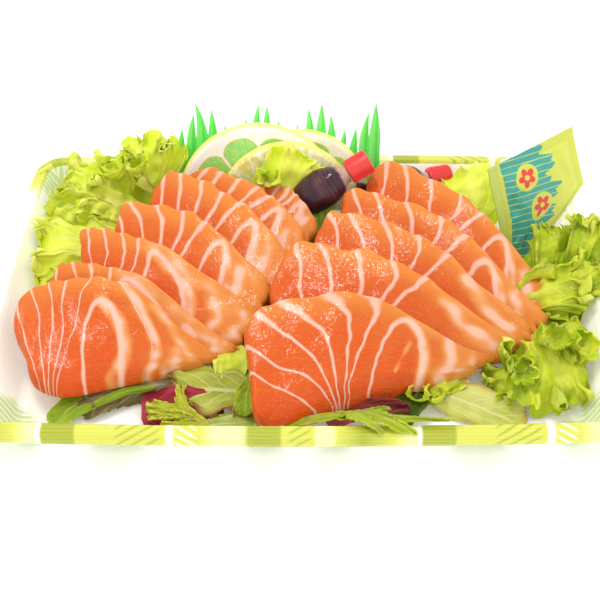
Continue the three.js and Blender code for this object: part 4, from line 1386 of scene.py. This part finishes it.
def draw_cap(name):
    middle = (0, 0, (CAP_START + CAP_LENGTH / 2) * MM)
    sizes = dict(radius=CAP_RADIUS * MM, depth=CAP_LENGTH * MM, location=middle)
    cap = begin(name, bpy.ops.mesh.primitive_cylinder_add, vertices=2 * CAP_RIBS, **sizes)
    edit_all()
    select_edges(cap, lambda a, b: abs(a[2] - b[2]) < 0.1)
    bpy.ops.mesh.bevel(offset=CAP_ROUND * MM, segments=4, affect="EDGES")
    bpy.ops.mesh.select_all(action="DESELECT")
    leave_edit()
    bpy.context.tool_settings.mesh_select_mode = (False, False, True)
    sides = [face for face in cap.data.polygons if face.area > CAP_SIDE and abs(face.normal.z) < 0.1]
    sides.sort(key=lambda face: math.atan2(face.center.y, face.center.x))
    for face in sides[::2]:
        face.select = True
    bpy.ops.object.mode_set(mode="EDIT")
    bpy.ops.mesh.inset(thickness=RIB_GAP * MM, depth=RIB_HEIGHT * MM, use_individual=True)
    leave_edit()
    bpy.context.tool_settings.mesh_select_mode = (True, False, False)
    return cap


# %% [markdown]
# The sauce shows dark through the thin wall, with a paler mouth and a few raised rings behind the
# head. A clear bottle with liquid inside would be truer but noisy at this size, so the body is
# given the dark colour itself under a clear coat. The cap is plain red plastic.

# %% Bottle and cap finishes
def sauce_finish():
    f = Finish("dark_sauce", 0.3, coat=(0.2, 0.08), specular_ior_level=0.3)
    from_tail = f.noted("from_tail")
    cloud = f.noise(f.place(), 160, 2)
    dark = f.tint(f.step(cloud, 0.35, 0.7), paint(54, 20, 30), paint(80, 40, 46))
    rings = from_tail.math("PINGPONG", 0.9)
    gills = f.step(from_tail, 18.5, 19.5) * f.step(from_tail, 25.2, 24.4)
    dark = f.tint(f.step(rings, 0.6, 0.85) * gills * 0.12, dark, paint(140, 104, 108))
    mouth = f.step(cloud * 3 + from_tail, 27.6, 29.2)
    dark = f.tint(mouth * 0.8, dark, paint(206, 168, 158))
    return f.coat_with(base_color=dark, normal=f.relief(rings * gills, 0.35))


def cap_finish():
    f = Finish("red_cap", 0.3, (0.2, (1, 0.2, 0.2), 1 * MM), base_color=paint(246, 66, 62))
    return f.coat_with(normal=f.relief(f.noise(f.place(), 700, 1), 0.05))


# %% Lay the bottles
# Where the tail is, where the mouth points, and the roll in degrees.
BOTTLES = [((-7.1, 36.9, 19.8), (22.8, 47.6, 34.5), -54), ((23, 54.9, 17.2), (56.8, 63.9, 17.5), -21)]


def lay_along(piece, start, aim, roll):
    """Turns a piece's long axis from +Z to the line from start towards aim."""
    ahead = (Vector(aim) - Vector(start)).normalized()
    side = Vector(UPWARD).cross(ahead).normalized()
    spin = Matrix.Rotation(math.radians(roll), 3, ahead)
    side, up = spin @ side, spin @ ahead.cross(side)
    turn = Matrix((side, up, ahead)).transposed().to_4x4()
    piece.data.transform(Matrix.Translation(Vector(start) * MM) @ turn)


sauce, red = sauce_finish(), cap_finish()
for i, place in enumerate(BOTTLES, 1):
    body, cap = draw_bottle(f"fish_bottle_{i}"), draw_cap(f"fish_cap_{i}")
    for piece in (body, cap):
        lay_along(piece, *place)
    complete(body, f"sauce_bottle_{i}", sauce)
    complete(cap, f"bottle_cap_{i}", red)

# %% [markdown]
# ## The sachet
# The sachet is a small printed pillow with pressed seals. It leans on the rim, with its lower end
# tucked in among the leaves. A slab of two skins swells in the middle, and small creases run in
# from the seals. The print is a plain pattern of this tray's own colours: a teal wave with fine
# stripes, and two round lime spots with red flowers.

# %% Fill the sachet
SACHET_CORNER = np.array((70.1, 32.8, 43.9))
SACHET_ACROSS = unit(np.array((0.839, 0.535, 0.095)))
SACHET_OUT = unit(np.cross((0.25, -0.27, -0.93), SACHET_ACROSS))
SACHET_DOWN = np.cross(SACHET_ACROSS, SACHET_OUT)
SACHET_WIDTH, SACHET_LENGTH, SEAL, SWELL = 42, 42, 4, 4.2
TUCK_START, TUCK = 24, 1.7  # below the rim the far side folds in, by this much per mm


def fill_sachet():
    piece = unit_slab("sauce_sachet", 72, 84)
    u, v, z = points_of(piece).T
    x, y = u * SACHET_WIDTH, (1 - v) * SACHET_LENGTH
    near = np.min([x, SACHET_WIDTH - x, y, SACHET_LENGTH - y], axis=0) - SEAL
    half = 0.25 + SWELL * np.sqrt(np.clip(near / 9, 0, 1)) / 2
    crimp = 0.12 * np.sin(2 * math.pi * near / 0.8) * (near < -0.4)
    crease = 0.35 * ripple(x, y, 7, 3) * smoothstep(near, -0.5, 3) * smoothstep(-near, -11, -4)
    curl = 0.5 * np.sin(x / 9) * np.sin(y / 8 + 1)
    out = np.where(z < -0.5, -half, half) + crimp + crease + curl
    x = x * (1 - TUCK * np.maximum(y - TUCK_START, 0) / SACHET_WIDTH)
    spot = SACHET_CORNER + x[:, None] * SACHET_ACROSS + y[:, None] * SACHET_DOWN
    move_points(piece, spot + out[:, None] * SACHET_OUT)
    return piece


# %% Sachet print
SACHET_LIME, TEAL, RED = paint(206, 210, 80), paint(60, 160, 146), paint(228, 60, 56)
FLOWERS, DISC = ((0.36, 0.77), (0.47, 0.45)), 0.13


def sachet_finish():
    f = Finish("sachet_print", 0.3, specular_ior_level=0.5)
    u, v, _ = f.axes(f.place("UV"))
    crest = (v * 25).math("SINE") * 0.06
    peaks = (v + 0.03).math("PINGPONG", 0.047) * 1.8
    shore = crest + peaks + 0.6
    sea = f.step(shore - u, -0.004, 0.004) * f.step(u, 0.12, 0.125)
    colour = f.tint(sea, SACHET_LIME, TEAL)
    stripe = (u * 0.15 + v).math("PINGPONG", 0.03)
    colour = f.tint(f.step(stripe, 0.0048, 0.002) * sea, colour, SACHET_LIME)
    for flower_u, flower_v in FLOWERS:
        du, dv = u - flower_u, v - flower_v
        reach = (du * du + dv * dv).math("SQRT")
        colour = f.tint(f.step(reach, DISC, DISC - 0.01), colour, SACHET_LIME)
        petals = abs((f.math("ARCTAN2", dv, du) * 2.5).math("SINE"))
        flower = f.step(petals * 0.05 + 0.045 - reach, -0.005, 0.005)
        colour = f.tint(flower, colour, RED)
        colour = f.tint(f.step(reach, 0.03, 0.02), colour, SACHET_LIME)
    dots = f.step(v.math("PINGPONG", 0.011), 0.004, 0.007) * f.step(u, 0.1, 0.09)
    colour = f.tint(dots * 0.35, colour, TEAL)
    return f.coat_with(base_color=colour, normal=f.relief(f.noise(f.place(), 260, 2), 0.25))


complete(fill_sachet(), "sachet", sachet_finish())
